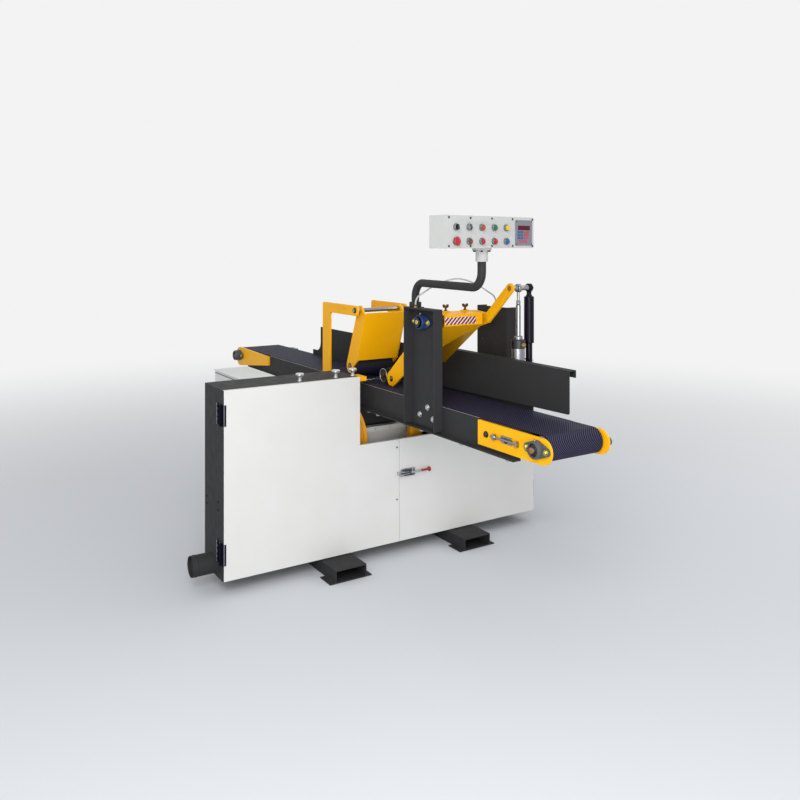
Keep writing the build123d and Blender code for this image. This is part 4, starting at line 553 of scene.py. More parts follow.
cast_iron = metal("machined_cast_iron", "77777a", "636366", 0.48, 2.2, scratch=0.3)

# %% [markdown]
# Rubbers and plastics. The belt is dark rough-top rubber, the rollers have a plain dull cover, and the
# buttons are glossy moulded plastic. Mouldings have an almost even colour, so only their gloss wanders a
# little.

# %% Rubbers and plastics
def moulded(name, card, shade, roughness, grain=6.0, relief=0.04, shine=0.5):
    """Plastic or rubber: near colours and gloss that wander on a grain of so many millimetres."""
    material, tree, shader = finish(name, IOR=1.5, Specular_IOR_Level=shine)
    where = add(tree, "ShaderNodeTexCoord").outputs["Object"]
    noises = [noise(tree, where, grain, 3.0)] * 3
    wander(tree, shader, (card, shade), (roughness - 0.06, roughness + 0.06), (relief, 0.0003), noises)
    return material


belt_rubber = moulded("rough_top_rubber", "2e2e3c", "22222e", 0.56, grain=9.0, shine=0.06)
roller_rubber = moulded("roller_rubber", "201d2a", "181521", 0.62, grain=1.6, relief=0.2, shine=0.2)
v_belt_rubber = moulded("v_belt_rubber", "222222", "1a1a1a", 0.6, grain=2.0, relief=0.2)
black_plastic = moulded("black_nylon", "202023", "19191b", 0.38)
damper_gloss = moulded("black_gloss_enamel", "100c1e", "0b0816", 0.16, grain=30.0, shine=0.14)
hinge_black = moulded("black_hinge_enamel", "120e20", "0c0a18", 0.70, shine=0.03)
red_plastic = moulded("red_moulding", "a81624", "98111e", 0.30)
pink_plastic = moulded("pink_key_film", "b04a66", "a03f5a", 0.40, shine=0.2)
window_red = moulded("dark_red_window", "560a1c", "480716", 0.25, grain=40.0, shine=0.15)
frame_grey = moulded("grey_violet_bezel", "7a7a85", "70707b", 0.42, shine=0.2)
tape_white = moulded("white_tape", "e8e6e4", "dcdad8", 0.34)
tape_red = moulded("red_tape", "8e1524", "7e101e", 0.34)
amber_grease = moulded("amber_grease", "a8651c", "7a4210", 0.30, grain=3.0, relief=0.3)
orange_plastic = moulded("orange_moulding", "a4401f", "96381a", 0.30)
brown_plastic = moulded("brown_red_moulding", "70332b", "622b24", 0.34)
green_plastic = moulded("green_moulding", "0f663c", "0c5a34", 0.30)
yellow_plastic = moulded("yellow_moulding", "d8b416", "ccaa10", 0.30)
blue_plastic = moulded("blue_moulding", "1a4f8a", "15467d", 0.30)
hose_nylon = moulded("grey_nylon_tube", "b4b7b9", "a9acae", 0.30, grain=12.0)
hose_line.materials.append(hose_nylon)
print("finishes", len(bpy.data.materials))

# %% [markdown]
# The band blade is a strip of spring steel with hook teeth ground into its front edge. It runs round two
# wheels, so one function gives the line of any such loop, and the belt further on uses it again. Each tooth
# needs only five points: tip, face, gullet, and two up the back.

# %% Band blade
WHEEL_X = 485.0
WHEEL_Z = 623.0
BLADE_R = 345.9
BLADE_HALF_THICK = 0.6
BLADE_FRONT = 88.0
BLADE_BACK = 122.0
TEETH = 164
GULLET = 8.5
TOOTH_WAY = np.array([0, 0.06, 0.2, 0.36, 0.66])
TOOTH_DEPTH = np.array([0, 0.6, 1.0, 0.84, 0.32])


def loop_line(share, half, radius):
    """A band over two wheels: along the top, half a turn, back along the bottom, half a turn. Gives the way
    along, the height, and the outward direction's two parts at each share of the way round."""
    leg = 2 * half + math.pi * radius
    way = share % 1.0 * 2 * leg
    sign = np.where(way < leg, 1.0, -1.0)
    way = way % leg
    angle = np.clip(way - 2 * half, 0, None) / radius
    along = np.clip(way, 0, 2 * half) - half + radius * np.sin(angle)
    return sign * along, sign * radius * np.cos(angle), sign * np.sin(angle), sign * np.cos(angle)


share = ((np.arange(TEETH)[:, None] + TOOTH_WAY) / TEETH).ravel()
front_edge = BLADE_FRONT + GULLET * np.tile(TOOTH_DEPTH, TEETH)
back_edge = np.full(len(share), BLADE_BACK)
along, up, out_x, out_z = loop_line(share, WHEEL_X, BLADE_R)
corners = [
    np.stack([along + lift * out_x, edge, WHEEL_Z + up + lift * out_z], -1)
    for edge, lift in ((front_edge, BLADE_HALF_THICK), (back_edge, BLADE_HALF_THICK),
                       (back_edge, -BLADE_HALF_THICK), (front_edge, -BLADE_HALF_THICK))
]
piece("band_blade_toothed", [skin(np.stack(corners, 1), loop=True)], blade_steel, "base",
      ("band_blade",))
print("teeth", TEETH, "pitch", round((4 * WHEEL_X + 2 * math.pi * BLADE_R) / TEETH, 1), "mm")

# %% [markdown]
# The feed belt is rough-top rubber: its cover is moulded into rows of small knobs, each row half a step from
# the next, so that boards don't slip. A grid over the loop, with every other point raised, is exactly that.
# The height is also kept as an attribute, and the colour follows it: a painted highlight on the knob tops
# and painted shade between them.

# %% Feed belt
BELT_EDGE = 145.0
BELT_HALF_LENGTH = 1633.5
BELT_MIDDLE_Y = 306.5
DRUM_Z = 891.7
BELT_R = 52.8
BELT_HALF_THICK = 2.5
KNOB_STEP = 5.5
KNOB_RISE = 0.9
KNOB_SHARPNESS = 3.0
# Knob colours: a painted highlight for the tops and painted shade for the gaps between them.
KNOB_TOP_HIGHLIGHT = "5c5a78"
KNOB_GAP_SHADE = "030206"

columns = int(2 * BELT_EDGE / KNOB_STEP) + 1
stations = 2 * round((2 * BELT_HALF_LENGTH + math.pi * BELT_R) / KNOB_STEP)
raised = (np.arange(stations)[:, None] + np.arange(columns)[None]) % 2
top_lift = BELT_HALF_THICK - KNOB_RISE * (1 - raised)
lift = np.concatenate([top_lift, np.full((stations, 2), -BELT_HALF_THICK)], 1)
across = np.concatenate([np.linspace(-BELT_EDGE, BELT_EDGE, columns), [BELT_EDGE, -BELT_EDGE]])
along, up, out_y, out_z = loop_line(np.arange(stations) / stations, BELT_HALF_LENGTH, BELT_R)
rows = np.stack([
    np.broadcast_to(across, lift.shape),
    BELT_MIDDLE_Y + along[:, None] + lift * out_y[:, None],
    DRUM_Z + up[:, None] + lift * out_z[:, None],
], -1)
feed_belt = piece("feed_belt_rough_top", [skin(rows, loop=True)], belt_rubber, "conveyor",
                  ("conveyor_belt",))
crown = np.concatenate([raised, np.zeros((stations, 2))], 1).ravel()
feed_belt.data.attributes.new("crown", "FLOAT", "POINT").data.foreach_set("value", crown)
# The rubber's colour follows the knob height: painted highlight on the tops, painted shade between them.
tree = belt_rubber.node_tree
height = add(tree, "ShaderNodeAttribute", attribute_name="crown")
highlight_share = add(tree, "ShaderNodeMath", {0: height.outputs["Fac"], 1: KNOB_SHARPNESS}, operation="POWER")
knobs = add(tree, "ShaderNodeMix", {0: highlight_share.outputs[0], 6: tone(KNOB_GAP_SHADE), 7: tone(KNOB_TOP_HIGHLIGHT)},
            data_type="RGBA")
tree.links.new(knobs.outputs[2], tree.nodes["Principled BSDF"].inputs["Base Color"])
print("belt knobs", int(raised.sum()), "faces", len(feed_belt.data.polygons))

# %% [markdown]
# Sheet and plate work keeps its CAD shape and gets softer edges. Only the finish and the joining differ, so
# these pieces are a table. Rings and pierced plates aren't joined into large faces.

# %% Sheet, plate and castings
SHEETWORK = [
    (charcoal, "charcoal_paint", True, ["cabinet_frame", "fences"]),
    (charcoal, "charcoal_paint", False,
     ["back_plate", "lift_ram", "belt_guard", "conveyor_frame", "control_arm", "feet"]),
    (housing_grey, "grey_paint", False, ["lift_housing"]),
    (pale_grey, "grey_paint", True, ["electrical_cabinet"]),
    (cast_iron, "cast_iron", False, ["arbor_housing", "tension_slide"]),
    (yellow, "yellow_paint", False, ["end_plates", "gallows_brackets", "guide_arm_left"]),
    (yellow, "yellow_paint", True, ["guide_arm_right"]),
]
for paint, slot, join, nodes in SHEETWORK:
    for node in nodes:
        softened(node, paint, join=join)
print("sheet pieces", sum(len(nodes) for *_, nodes in SHEETWORK))

# %% [markdown]
# The band wheels are enamelled castings with a turned rim. Six bolts hold each hub.

# %% Band wheels
HUB_FRONT = 72.0
HUB_BOLT_CIRCLE = 46.0
for node, middle in (("idler_wheel", -WHEEL_X), ("drive_wheel", WHEEL_X)):
    softened(node, wheel_paint, bevel=2.0, join=False)
    places = [(x, HUB_FRONT, z) for x, z in ring_line((middle, WHEEL_Z), HUB_BOLT_CIRCLE, 6)]
    piece(node + "_hub_bolts", hex_bolts(places, OUT, 16, 8, 11), zinc, node, bevel=0.4)
print("bolts on each hub", len(places))

# %% [markdown]
# The dust outlet is a rolled tube. A bead near its mouth stiffens the edge and holds the hose clip, and a
# weld runs round its foot.

# %% Dust outlet
DUST_FOOT = (-1000.0, 141.0, 124.0)
DUST_MOUTH = (-1120.0, 141.0, 124.0)
DUST_BEAD = [(14, 51.5), (16, 53.4), (19, 54.2), (22, 53.4), (24, 51.5)]
DUST_WELD = [(0, 52), (0, 58), (-2.5, 57), (-5, 54.5), (-6, 52)]
softened("dust_port", charcoal, bevel=0.8, join=False)
bead = turned(DUST_BEAD, DUST_MOUTH, RIGHT, 64)
weld = turned(DUST_WELD, DUST_FOOT, RIGHT, 64, tube=True)
for name, shape in (("dust_port_bead", bead), ("dust_port_weld", weld)):
    piece(name, [shape], charcoal, "base")
print("dust outlet", DUST_FOOT[0] - DUST_MOUTH[0], "mm long")

# %% [markdown]
# The doors are folded pans. Hinge halves that belong to them are dark, so their faces take a second finish,
# and the wall along the hinges is charcoal like the cabinet's end. Hat-section stiffeners are welded inside.
# Front straps at the hinges are on the left door only.

# %% Doors and hinges
DOOR_EDGE = 999.5
HINGE_ZONE = (1000.3, 1030.3)
ZONE_TOP = 1100.0
KEEPER = (2, (-20, -20, 430), (12, -0.5, 470))
HINGE_BOTTOMS = (829.0, 149.0)
HINGE_HEIGHT = 104.0
DOOR_BACK = 3.0
HAT = [(-34, 0), (-20, 0), (-14, 11), (14, 11), (20, 0), (34, 0)]
HAT_STARTS = {180.0: 40.0, 380.0: 40.0, 560.0: 40.0, 800.0: 270.0}
HAT_END = 960.0
# The thin grey rim in front of each strap (the entry with finish 1) is a painted highlight on the strap's
# edge.
STRAPS_AND_HIGHLIGHT_RIMS = ((0, (-1006, -989), (-3, 0)), (1, (-1002, -998), (-3.8, -3)))
for side, node in ((-1, "left_door"), (1, "right_door")):
    low, high = spread(side, *HINGE_ZONE)
    areas = [(1, (low, -5, 0), (high, 40, ZONE_TOP))]
    low, high = spread(side, DOOR_EDGE, HINGE_ZONE[0])
    areas.append((3, (low, -1, 0), (high, 21, ZONE_TOP)))
    if side < 0:
        areas.append(KEEPER)
    softened(node, [white_door, hinge_black, zinc, charcoal], bevel=1.6, areas=areas)
    hats = []
    for level, start in HAT_STARTS.items():
        outline = [(DOOR_BACK + depth, level + along) for along, depth in HAT]
        hats.append(plate(outline, spread(side, start, HAT_END), "x"))
    piece(node + "_stiffeners", hats, white_door, node, bevel=0.8)
softened("door_hinges", hinge_black, bevel=1.0, join=False)
straps = [shape for bottom in HINGE_BOTTOMS for which, across, span in STRAPS_AND_HIGHLIGHT_RIMS
          for shape in in_finish(which, [tile(across, (bottom, bottom + HINGE_HEIGHT), span, "y")])]
piece("left_door_hinge_straps", straps, [hinge_black, frame_grey], "left_door", bevel=0.3)
print("stiffeners", 2 * len(HAT_STARTS), "straps", len(straps))

# %% Hinge leaves and plugs
# The two grey ribs with finish 1 on each leaf are painted highlights on the leaf's edge and the knuckle.
LEAVES_AND_HIGHLIGHT_RIBS = ((0, (30, 92), (1000, 1004), 3), (0, (29, 37), (1004, 1009), 2),
          (1, (83, 91), (1004, 1005.8), 0), (1, (40, 47), (1004, 1005.8), 0))
LEAF_SCREW_X = 1005.0
END_PLUG = [(0, 6), (1.2, 5.6), (1.8, 4)]
END_PLUGS = ((246, 427), (246, 391), (82, 441), (82, 401))
SEAM_PLUG = [(0, 5), (1.2, 4.6), (1.8, 3)]
SEAM_PLUGS = (594.0, 305.0)
leaves = []
screws = []
for side in (-1, 1):
    for bottom in HINGE_BOTTOMS:
        tall = (bottom, bottom + HINGE_HEIGHT)
        for which, across, span, corner in LEAVES_AND_HIGHLIGHT_RIBS:
            leaves += in_finish(which, [tile(across, tall, spread(side, *span), "x", corner)])
        screws += [cap_screw((side * LEAF_SCREW_X, y, bottom + z), (side, 0, 0), 4.5, 2.2)
                   for y in (52, 78) for z in (14, 38, 66, 90)]
plugs = [turned(END_PLUG, (-1000, y, z), LEFT, 16) for y, z in END_PLUGS]
piece("hinge_leaves", leaves, [hinge_black, frame_grey], "base", bevel=0.5)
piece("hinge_screws", screws + plugs, hinge_black, "base", bevel=0.3)
piece("door_seam_plugs", [turned(SEAM_PLUG, (-3, 0, z), OUT, 16) for z in SEAM_PLUGS], black_plastic,
      "left_door")
print("hinge screws", len(screws), "plugs", len(plugs))

# %% [markdown]
# The toggle latch is a pressed zinc base with two dark ears, a lever between them on a pin, and a wire hook
# that pulls the keeper on the other door. The lever ends in a red dipped grip.

# %% Toggle latch
LATCH_Z = 448.0
LATCH_PIN = (90.0, -16.0)
EAR_LINE = [(28, -4), (28, -10), (40, -22), (98, -22), (106, -12), (106, -4)]
EAR_SPANS = ((433.7, 439.0), (457.0, 462.3))
RIVET = [(0, 6), (2.5, 5.2), (3.4, 2.5)]
PIN = [(-17.5, 4.6), (-16, 5.2), (16, 5.2), (17.5, 4.6)]
HOOK_LEG = [(84, -13, 455), (60, -15, 455), (30, -19, 455), (6, -20.5, 455), (-4, -19, 454),
            (-6.5, -18, 451)]
LEVER_LINE = [(82, -10.5), (82, -21.5), (100, -22), (150, -19.5), (150, -12.5), (100, -10)]
GRIP = [(145, 3), (146, 5.6), (152, 6.2), (190, 5.8), (195, 7), (199, 13), (205, 13.4), (208, 11.5),
        (208.5, 4)]
hook = HOOK_LEG + [(x, y, 2 * LATCH_Z - z) for x, y, z in HOOK_LEG[::-1]]
latch = [
    tile((20, 114), (426, 470), (-4, 0), "y", 5),
    *in_finish(1, [plate(EAR_LINE, span, "z") for span in EAR_SPANS]),
    *[turned(RIVET, (x, -4, z), OUT, 16) for x in (26, 109) for z in (431, 465)],
    turned(PIN, (*LATCH_PIN, LATCH_Z), UP, 20),
    bar(hook, 2.4, 10, side=(0, 1, 0.01)),
]
piece("latch_body_pressed", latch, [zinc, dark_steel], "right_door", ("latch_body",), bevel=0.6)
lever = plate(eased(LEVER_LINE, 3), (443.5, 452.5), "z")
grip = turned(GRIP, (0, LATCH_PIN[1], LATCH_Z), RIGHT, 28)
piece("latch_handle_gripped", [lever, *in_finish(1, [grip])], [zinc, red_plastic], "latch_handle",
      ("latch_handle",), bevel=0.8)
print("latch hook points", len(hook))

# %% [markdown]
# Each clamp knob is a cast three-arm star on a stud, with a nut under the guide arm. The star's edge is a
# circle whose radius swells three times round.

# %% Clamp knobs
KNOB_PLACES = {"clamp_knob_outer": -571.0, "clamp_knob_middle": -359.0, "clamp_knob_inner": -256.0}
KNOB_Y = 50.0
KNOB_FOOT = 1004.0
NUT_TOP = 974.3
STAR_LEVELS = ((1028, 0.45), (1031, 0.82), (1036, 1.0), (1042, 1.0), (1046, 0.86), (1048, 0.5))
STAR_R = 19.0
STAR_SWELL = 5.5
NECK = [(-39, 4.8), (1, 4.8), (1, 11), (4, 11), (5, 9.6), (20, 8.8), (26, 12)]


def star_ring(x, level, size, steps=72):
    """Three arms: a radius, and a swell times the cosine of three times the angle."""
    angle = np.linspace(0, 2 * np.pi, steps, endpoint=False)
    radius = size * (STAR_R + STAR_SWELL * np.cos(3 * angle))
    return np.stack([x + radius * np.cos(angle), KNOB_Y + radius * np.sin(angle), np.full(steps, level)], -1)


for node, x in KNOB_PLACES.items():
    star = skin([star_ring(x, level, size) for level, size in STAR_LEVELS])
    neck = turned(NECK, (x, KNOB_Y, KNOB_FOOT), UP, 28)
    nut = hex_bolt((x, KNOB_Y, NUT_TOP), DOWN, 16, 9, 9)
    piece(node + "_star", [star, neck, *nut], die_cast, node, (node,), bevel=0.3)
print("knobs", list(KNOB_PLACES))

# %% [markdown]
# Under each guide head two hardened pads run close over the blade; cap screws hold them from the inner face.

# %% Blade guide pads
PAD_X = (176.5, 180.0)
PAD_FRONTS = (64.0, 94.0)
PAD_WIDTH = 26.0
PAD_TOP = 996.0
for name, body, side, bottom in (("guide_pads_left", "guide_arm_left", -1, 973.5),
                                 ("guide_pads_right", "base", 1, 973.8)):
    pads = [block(spread(side, *PAD_X), (y, y + PAD_WIDTH), (bottom, PAD_TOP), 1.0) for y in PAD_FRONTS]
    screws = [cap_screw((side * PAD_X[0], y + PAD_WIDTH / 2, 986), (-side, 0, 0), 4.5, 3)
              for y in PAD_FRONTS]
    piece(name, pads + screws, steel, body, bevel=0.5)
print("guide pads", 2 * len(PAD_FRONTS))

# %% [markdown]
# Flange bearings are castings: an eared flange, a turned hub with a lip, a black seal round the shaft, a
# grease nipple on top and a bolt through each ear. An outline pulled tight round three circles gives the
# flange.

# %% Flange bearings
BEARING_BOLT = 58.0
BEARING_HUB = 38.0
FLANGE_THICK = 12.0
EAR_R = 17.0
NIPPLE = [(0, 3.5), (5, 3.5), (6, 2), (9, 2.8), (11, 1.2)]
CHEEK = 167.0
DRUM_BEARINGS = ((-1, -1327.0, 30.0), (1, -1327.0, 30.0), (-1, 1940.0, 46.0), (1, 1940.0, 30.0))
PIVOT = (-495.0, 1338.0)


def taut_line(circles, steps=96):
    """Outline of a band pulled tight round circles (across, up, radius): for each direction, the point on
    the circle that reaches furthest that way."""
    angle = np.linspace(0, 2 * np.pi, steps, endpoint=False)
    way = np.stack([np.cos(angle), np.sin(angle)], -1)
    circles = np.asarray(circles, float)
    best = (circles[:, :2] @ way.T + circles[:, 2:]).argmax(0)
    return circles[best, :2] + circles[best, 2:] * way


def flange_bearing(back, side, y, z, shaft, scale, nose=30.0):
    """Flange and hub, seal, nipple and bolts of one bearing, from its back face out to one side along X."""
    reach = scale * BEARING_BOLT
    hub = scale * BEARING_HUB
    face = back + side * FLANGE_THICK
    start = (back, y, z)
    axis = (side, 0, 0)
    ears = taut_line([(y - reach, z, EAR_R), (y, z, hub), (y + reach, z, EAR_R)])
    lip = [(11, hub), (nose - 5, hub - 2), (nose, hub - 5), (nose, hub - 10), (nose - 9, hub - 12),
           (11, hub - 12)]
    seal = [(11, hub - 11), (23, hub - 12), (25, shaft + 7), (27, shaft + 5), (27, shaft + 0.5),
            (11, shaft + 0.5)]
    return [
        plate(ears, sorted((back, face)), "x"),
        turned(lip, start, axis, 48, tube=True),
        *in_finish(1, [turned(seal, start, axis, tube=True)]),
        *in_finish(2, [turned(NIPPLE, (back + side * 18, y, z + hub - 3), UP, 16)]),
        *in_finish(3, hex_bolts([(face, y - reach, z), (face, y + reach, z)], axis, 17, 9, 13)),
    ]


drum_ends = [shape for side, y, nose in DRUM_BEARINGS
             for shape in flange_bearing(side * CHEEK, side, y, DRUM_Z, 12.5, 1.0, nose)]
shaft_ends = [shape for side, back in ((-1, -163), (1, 248))
              for shape in flange_bearing(back, side, *PIVOT, 20, 1.04)]
for name, bearings, paint, nodes in (("drum_bearings", drum_ends, bearing_grey, ("flange_bearings",)),
                                     ("pivot_bearings", shaft_ends, bearing_blue, ())):
    piece(name, bearings, [paint, black_plastic, brass, yellow_zinc], "conveyor", nodes,
          bevel=1.6)
print("drum bearings", len(DRUM_BEARINGS))

# %% [markdown]
# The drums are turned steel. Only their shaft ends show, in the bearings, under a film of old grease.

# %% Drums
GREASED = [(1, (low, -1500, 870), (low + 20, 2100, 915)) for low in (-206, 186)]
for node in ("infeed_drum", "outfeed_drum"):
    softened(node, [steel, amber_grease], bevel=0.8, areas=GREASED, join=False)

# %% [markdown]
# A thin pale strip along the near rail's top edge is a painted highlight on that edge.

# %% Rail edge highlight
RAIL_TOP = 945.0
# Painted highlight: a pale strip standing on the rail's top edge.
edge_highlight = block((-154.6, -152), (-930, 1400), (RAIL_TOP, RAIL_TOP + 0.4), 0.5)
piece("rail_edge_painted_highlight", [edge_highlight], light_grey, "conveyor")
print("worn edge at", RAIL_TOP)

# %% [markdown]
# Zinc-plated hex bolts hold the frame together, and black ones clamp the take-up. They stand where the
# drawing has them, each with its washer.

# %% Frame bolts
POST_BOLTS = ((-468, 880), (-535, 924), (-582, 874), (-625, 918))
CLAMP_BOLTS = ((-994, 886), (-1133, 886))
BRACKET_BOLTS = ((536, 857), (536, 923))
FLANGE_BOLTS = (-1150, -824, -500, -82, 14, 620, 1020, 1420)
bolts = [
    *hex_bolts([(-163, *place) for place in POST_BOLTS], LEFT),
    *in_finish(1, hex_bolts([(-CHEEK, *place) for place in CLAMP_BOLTS], LEFT)),
    *hex_bolts([(-CHEEK, *place) for place in BRACKET_BOLTS], LEFT),
    *hex_bolts([(side * 172.5, y, 813) for y in FLANGE_BOLTS for side in (-1, 1)], DOWN),
]
piece("frame_bolts_hex", bolts, [zinc, dark_steel], "conveyor", ("frame_bolts",), bevel=0.5)
print("bolts", len(bolts) // 2)

# %% [markdown]
# On the infeed cheeks a threaded rod between two lugs pulls the drum forward to tighten the belt. The bolt
# in the middle clamps the sliding plate when the belt runs true.

# %% Belt take-up
ROD_X = CHEEK + 12
ROD_Z = 889.0
ROD_WAY = np.linspace(-1216, -1036, 60)
ROD_THREAD = 4.2 + 0.5 * (np.arange(60) % 2)
ROD_NUTS = ((-1054, 1), (-1064, -1), (-1202, 1))
for side, name in ((-1, "belt_take_up_near"), (1, "belt_take_up_far")):
    slider = tile((-1170, -1098), (872, 904), spread(side, CHEEK, CHEEK + 5), "x", 6)
    lugs = [block(spread(side, CHEEK, CHEEK + 20), (y, y + 10), (876, 900)) for y in (-1064, -1212)]
    rod = bar([(side * ROD_X, y, ROD_Z) for y in ROD_WAY], ROD_THREAD, 12)
    nuts = [shape for y, way in ROD_NUTS
            for shape in hex_bolt((side * ROD_X, y, ROD_Z), (0, way, 0), 15, 8, 9.5)]
    clamp = hex_bolts([(CHEEK, *place) for place in CLAMP_BOLTS], RIGHT) if side > 0 else []
    piece(name, [slider, *lugs, rod, *nuts, *clamp], steel, "conveyor", bevel=0.6)
print("take-up rods at", ROD_X)

# %% [markdown]
# The infeed hold-down is a yellow weldment on a shaft between the posts. Its lever carries a bright pin for
# the cylinder and the damper; turned collars keep their eyes in place. A dark collar and a disc close the
# shaft's near end.

# %% Front hold-down
PIN_Y = -775.0
PIN_Z = 1506.0
SHAFT_TIP = (-201.0, *PIVOT)
PIN_COLLARS = ([(162, 16), (168, 16), (174, 12.5), (192, 11.5), (195, 13)],
               [(217, 13), (220, 12), (250, 12), (262, 15)])
PIN_EYE = [(0, 13), (1.6, 13), (1.6, 9.5), (0.5, 9)]
TIP_COLLAR = [(-14, 20.2), (-14, 24), (0.4, 24), (1.4, 23), (1.4, 20.2)]
softened("front_arm", [yellow, steel, dark_steel], bevel=1.6, join=False, areas=[
    (1, (162.3, -790, 1490), (300, -760, 1522)),
    (2, (-69, -100, 950), (-57, 60, 1050)), (2, (57, -100, 950), (69, 60, 1050))])
collars = [
    *[turned(profile, (0, PIN_Y, PIN_Z), RIGHT, 32) for profile in PIN_COLLARS],
    *hex_bolt((286, PIN_Y, PIN_Z), RIGHT, 22, 11, 14),
    *in_finish(1, [turned(PIN_EYE, (150, PIN_Y, PIN_Z), LEFT, 28)]),
    *in_finish(2, [turned(TIP_COLLAR, SHAFT_TIP, LEFT, tube=True),
                   turned([(0, 20), (0.8, 19)], SHAFT_TIP, LEFT)]),
    *in_finish(3, [turned([(0.8, 12), (2.4, 11)], SHAFT_TIP, LEFT, 32)]),
]
piece("lever_pin_collars", collars, [steel, amber_grease, dark_steel, yellow_zinc], "front_arm",
      bevel=0.6)
print("pin", PIN_Y, PIN_Z)

# %% [markdown]
# A strip of hazard tape runs along the front of the cover, red bars leaning on white. Two wing screws on
# small pads clamp the cover's top.

# %% Hazard tape and wing screws
TAPE_Y = -610.0
TAPE_X = (-113.0, 75.0)
TAPE_Z = (1328.0, 1364.0)
TAPE_THICK = 0.4
STRIPE = 23.0
RED_SHARE = 0.62
COVER_TOP = 1379.0
PAD_HEIGHT = 7.0
WING_STEM = [(0, 9), (4, 9), (5, 5.5), (16, 5.5), (18, 7), (25, 6), (27, 3)]
WING_LINE = [(2, 20), (14, 24), (17, 38), (8, 40)]


def cut(outline, level, keep):
    """The part of a convex outline past a level of its first coordinate: beyond it if keep is 1, short of it
    if keep is -1."""
    points = []
    for (x, z), (next_x, next_z) in zip(outline, outline[1:] + outline[:1]):
        if keep * (x - level) >= 0:
            points.append((x, z))
        if (x - level) * (next_x - level) < 0:
            points.append((level, z + (next_z - z) * (level - x) / (next_x - x)))
    return points


tape = [tile(TAPE_X, TAPE_Z, (TAPE_Y - TAPE_THICK, TAPE_Y), "y", 1.5)]
tall = TAPE_Z[1] - TAPE_Z[0]
wide = RED_SHARE * STRIPE
for x in np.arange(TAPE_X[0] + 1 - 2 * STRIPE, TAPE_X[1], STRIPE):
    lean = [(x, TAPE_Z[0]), (x + wide, TAPE_Z[0]), (x + wide + tall, TAPE_Z[1]), (x + tall, TAPE_Z[1])]
    lean = cut(cut(lean, TAPE_X[0], 1), TAPE_X[1], -1)
    if len(lean) > 2:
        tape += in_finish(1, [plate(lean, (TAPE_Y - 0.7, TAPE_Y - TAPE_THICK), "y")])
piece("hazard_tape", tape, [tape_white, tape_red], "front_arm")
wings = []
for x in (-27.0, 94.0):
    wings.append(block((x - 22, x + 20), (-508, -482), (COVER_TOP, COVER_TOP + PAD_HEIGHT), 5.0))
    wings += in_finish(1, [turned(WING_STEM, (x, PIVOT[0], COVER_TOP + PAD_HEIGHT), UP, 24)])
    for sign in (-1, 1):
        wing = eased([(x + sign * way, COVER_TOP + rise) for way, rise in WING_LINE], 3)
        wings += in_finish(1, [plate(wing, (PIVOT[0] - 5, PIVOT[0] + 5), "y")])
piece("cover_wing_screws", wings, [yellow, bronze], "front_arm", bevel=0.8)
print("stripes", len(tape) - 1)

# %% [markdown]
# The front rollers are rubber-covered tubes on one axle, held by two links behind the arms. The outer ends
# show the tube's bright rim, a recessed bearing and the axle: lathe shapes with that end cut into the
# profile.

# %% Front rollers
ROLLER_AXIS = (0, 20.0, 997.0)
ROLLER_R = 39.0
ROLLER_WALL = 4.5
ROLLER_SPANS = ((-80, -70), (-54, 54), (70, 80))
ARM_EYE = (-65.0, 990.0)
ARM_IN = 75.0
ARM_OUT = 78.0
FRONT_AXLE = [(-80, 10), (-79, 11.8), (79, 11.8), (80, 10)]
EYE_RING = [(0, 16), (1.2, 15.4), (1.2, 11), (0.2, 10.6)]
EYE_NUT = [(0, 8.5), (3, 8.5), (4, 6)]


def roller(low, high, radius):
    """A tube with its bearings sunk in the ends round the axle, bright where an end faces out."""
    rim = radius - ROLLER_WALL
    wall = [(low + 4, 15), (low + 4, rim), (low + 1, rim), (low + 1, radius),
            (high - 1, radius), (high - 1, rim), (high - 4, rim), (high - 4, 15)]
    races = [[(end, 14), (end, 27), (end + out * 2, 26), (end + out * 2, 22), (end + out, 21),
              (end + out, 14)] for end, out in ((low + 4, -1), (high - 4, 1)) if abs(end) > ARM_IN]
    ends = [[(end, rim - 1), (end, radius - 0.8), (end + out * 1.2, radius - 1.6), (end + out * 1.2, rim)]
            for end, out in ((low + 1, -1), (high - 1, 1)) if abs(end) > ARM_OUT]
    return [
        turned(wall, ROLLER_AXIS, RIGHT, 56, tube=True),
        *in_finish(1, [turned(race, ROLLER_AXIS, RIGHT, tube=True) for race in races]),
        *in_finish(2, [turned(end, ROLLER_AXIS, RIGHT, 56, tube=True) for end in ends]),
    ]


rollers = [shape for low, high in ROLLER_SPANS for shape in roller(low, high, ROLLER_R)]
rollers += in_finish(1, [turned(FRONT_AXLE, ROLLER_AXIS, RIGHT, 28)])
piece("front_rollers_turned", rollers, [roller_rubber, bronze, zinc], "front_roller",
      ("front_roller",), bevel=0.3)
eyes = []
for side in (-1, 1):
    start = (side * 80, *ARM_EYE)
    eyes.append(turned(EYE_RING, start, (side, 0, 0), 32))
    eyes += in_finish(1, [turned(EYE_NUT, start, (side, 0, 0), 6)])
piece("front_arm_eyes", eyes, [dark_steel, brass], "front_arm", bevel=0.3)
print("rollers", len(ROLLER_SPANS))

# %% [markdown]
# The air cylinder has a ground tube, a dark head with a brass port, a nut and a chromed rod; the damper
# beside it is a glossy black tube in a wider dust sleeve. All are lathe shapes on upright axes.

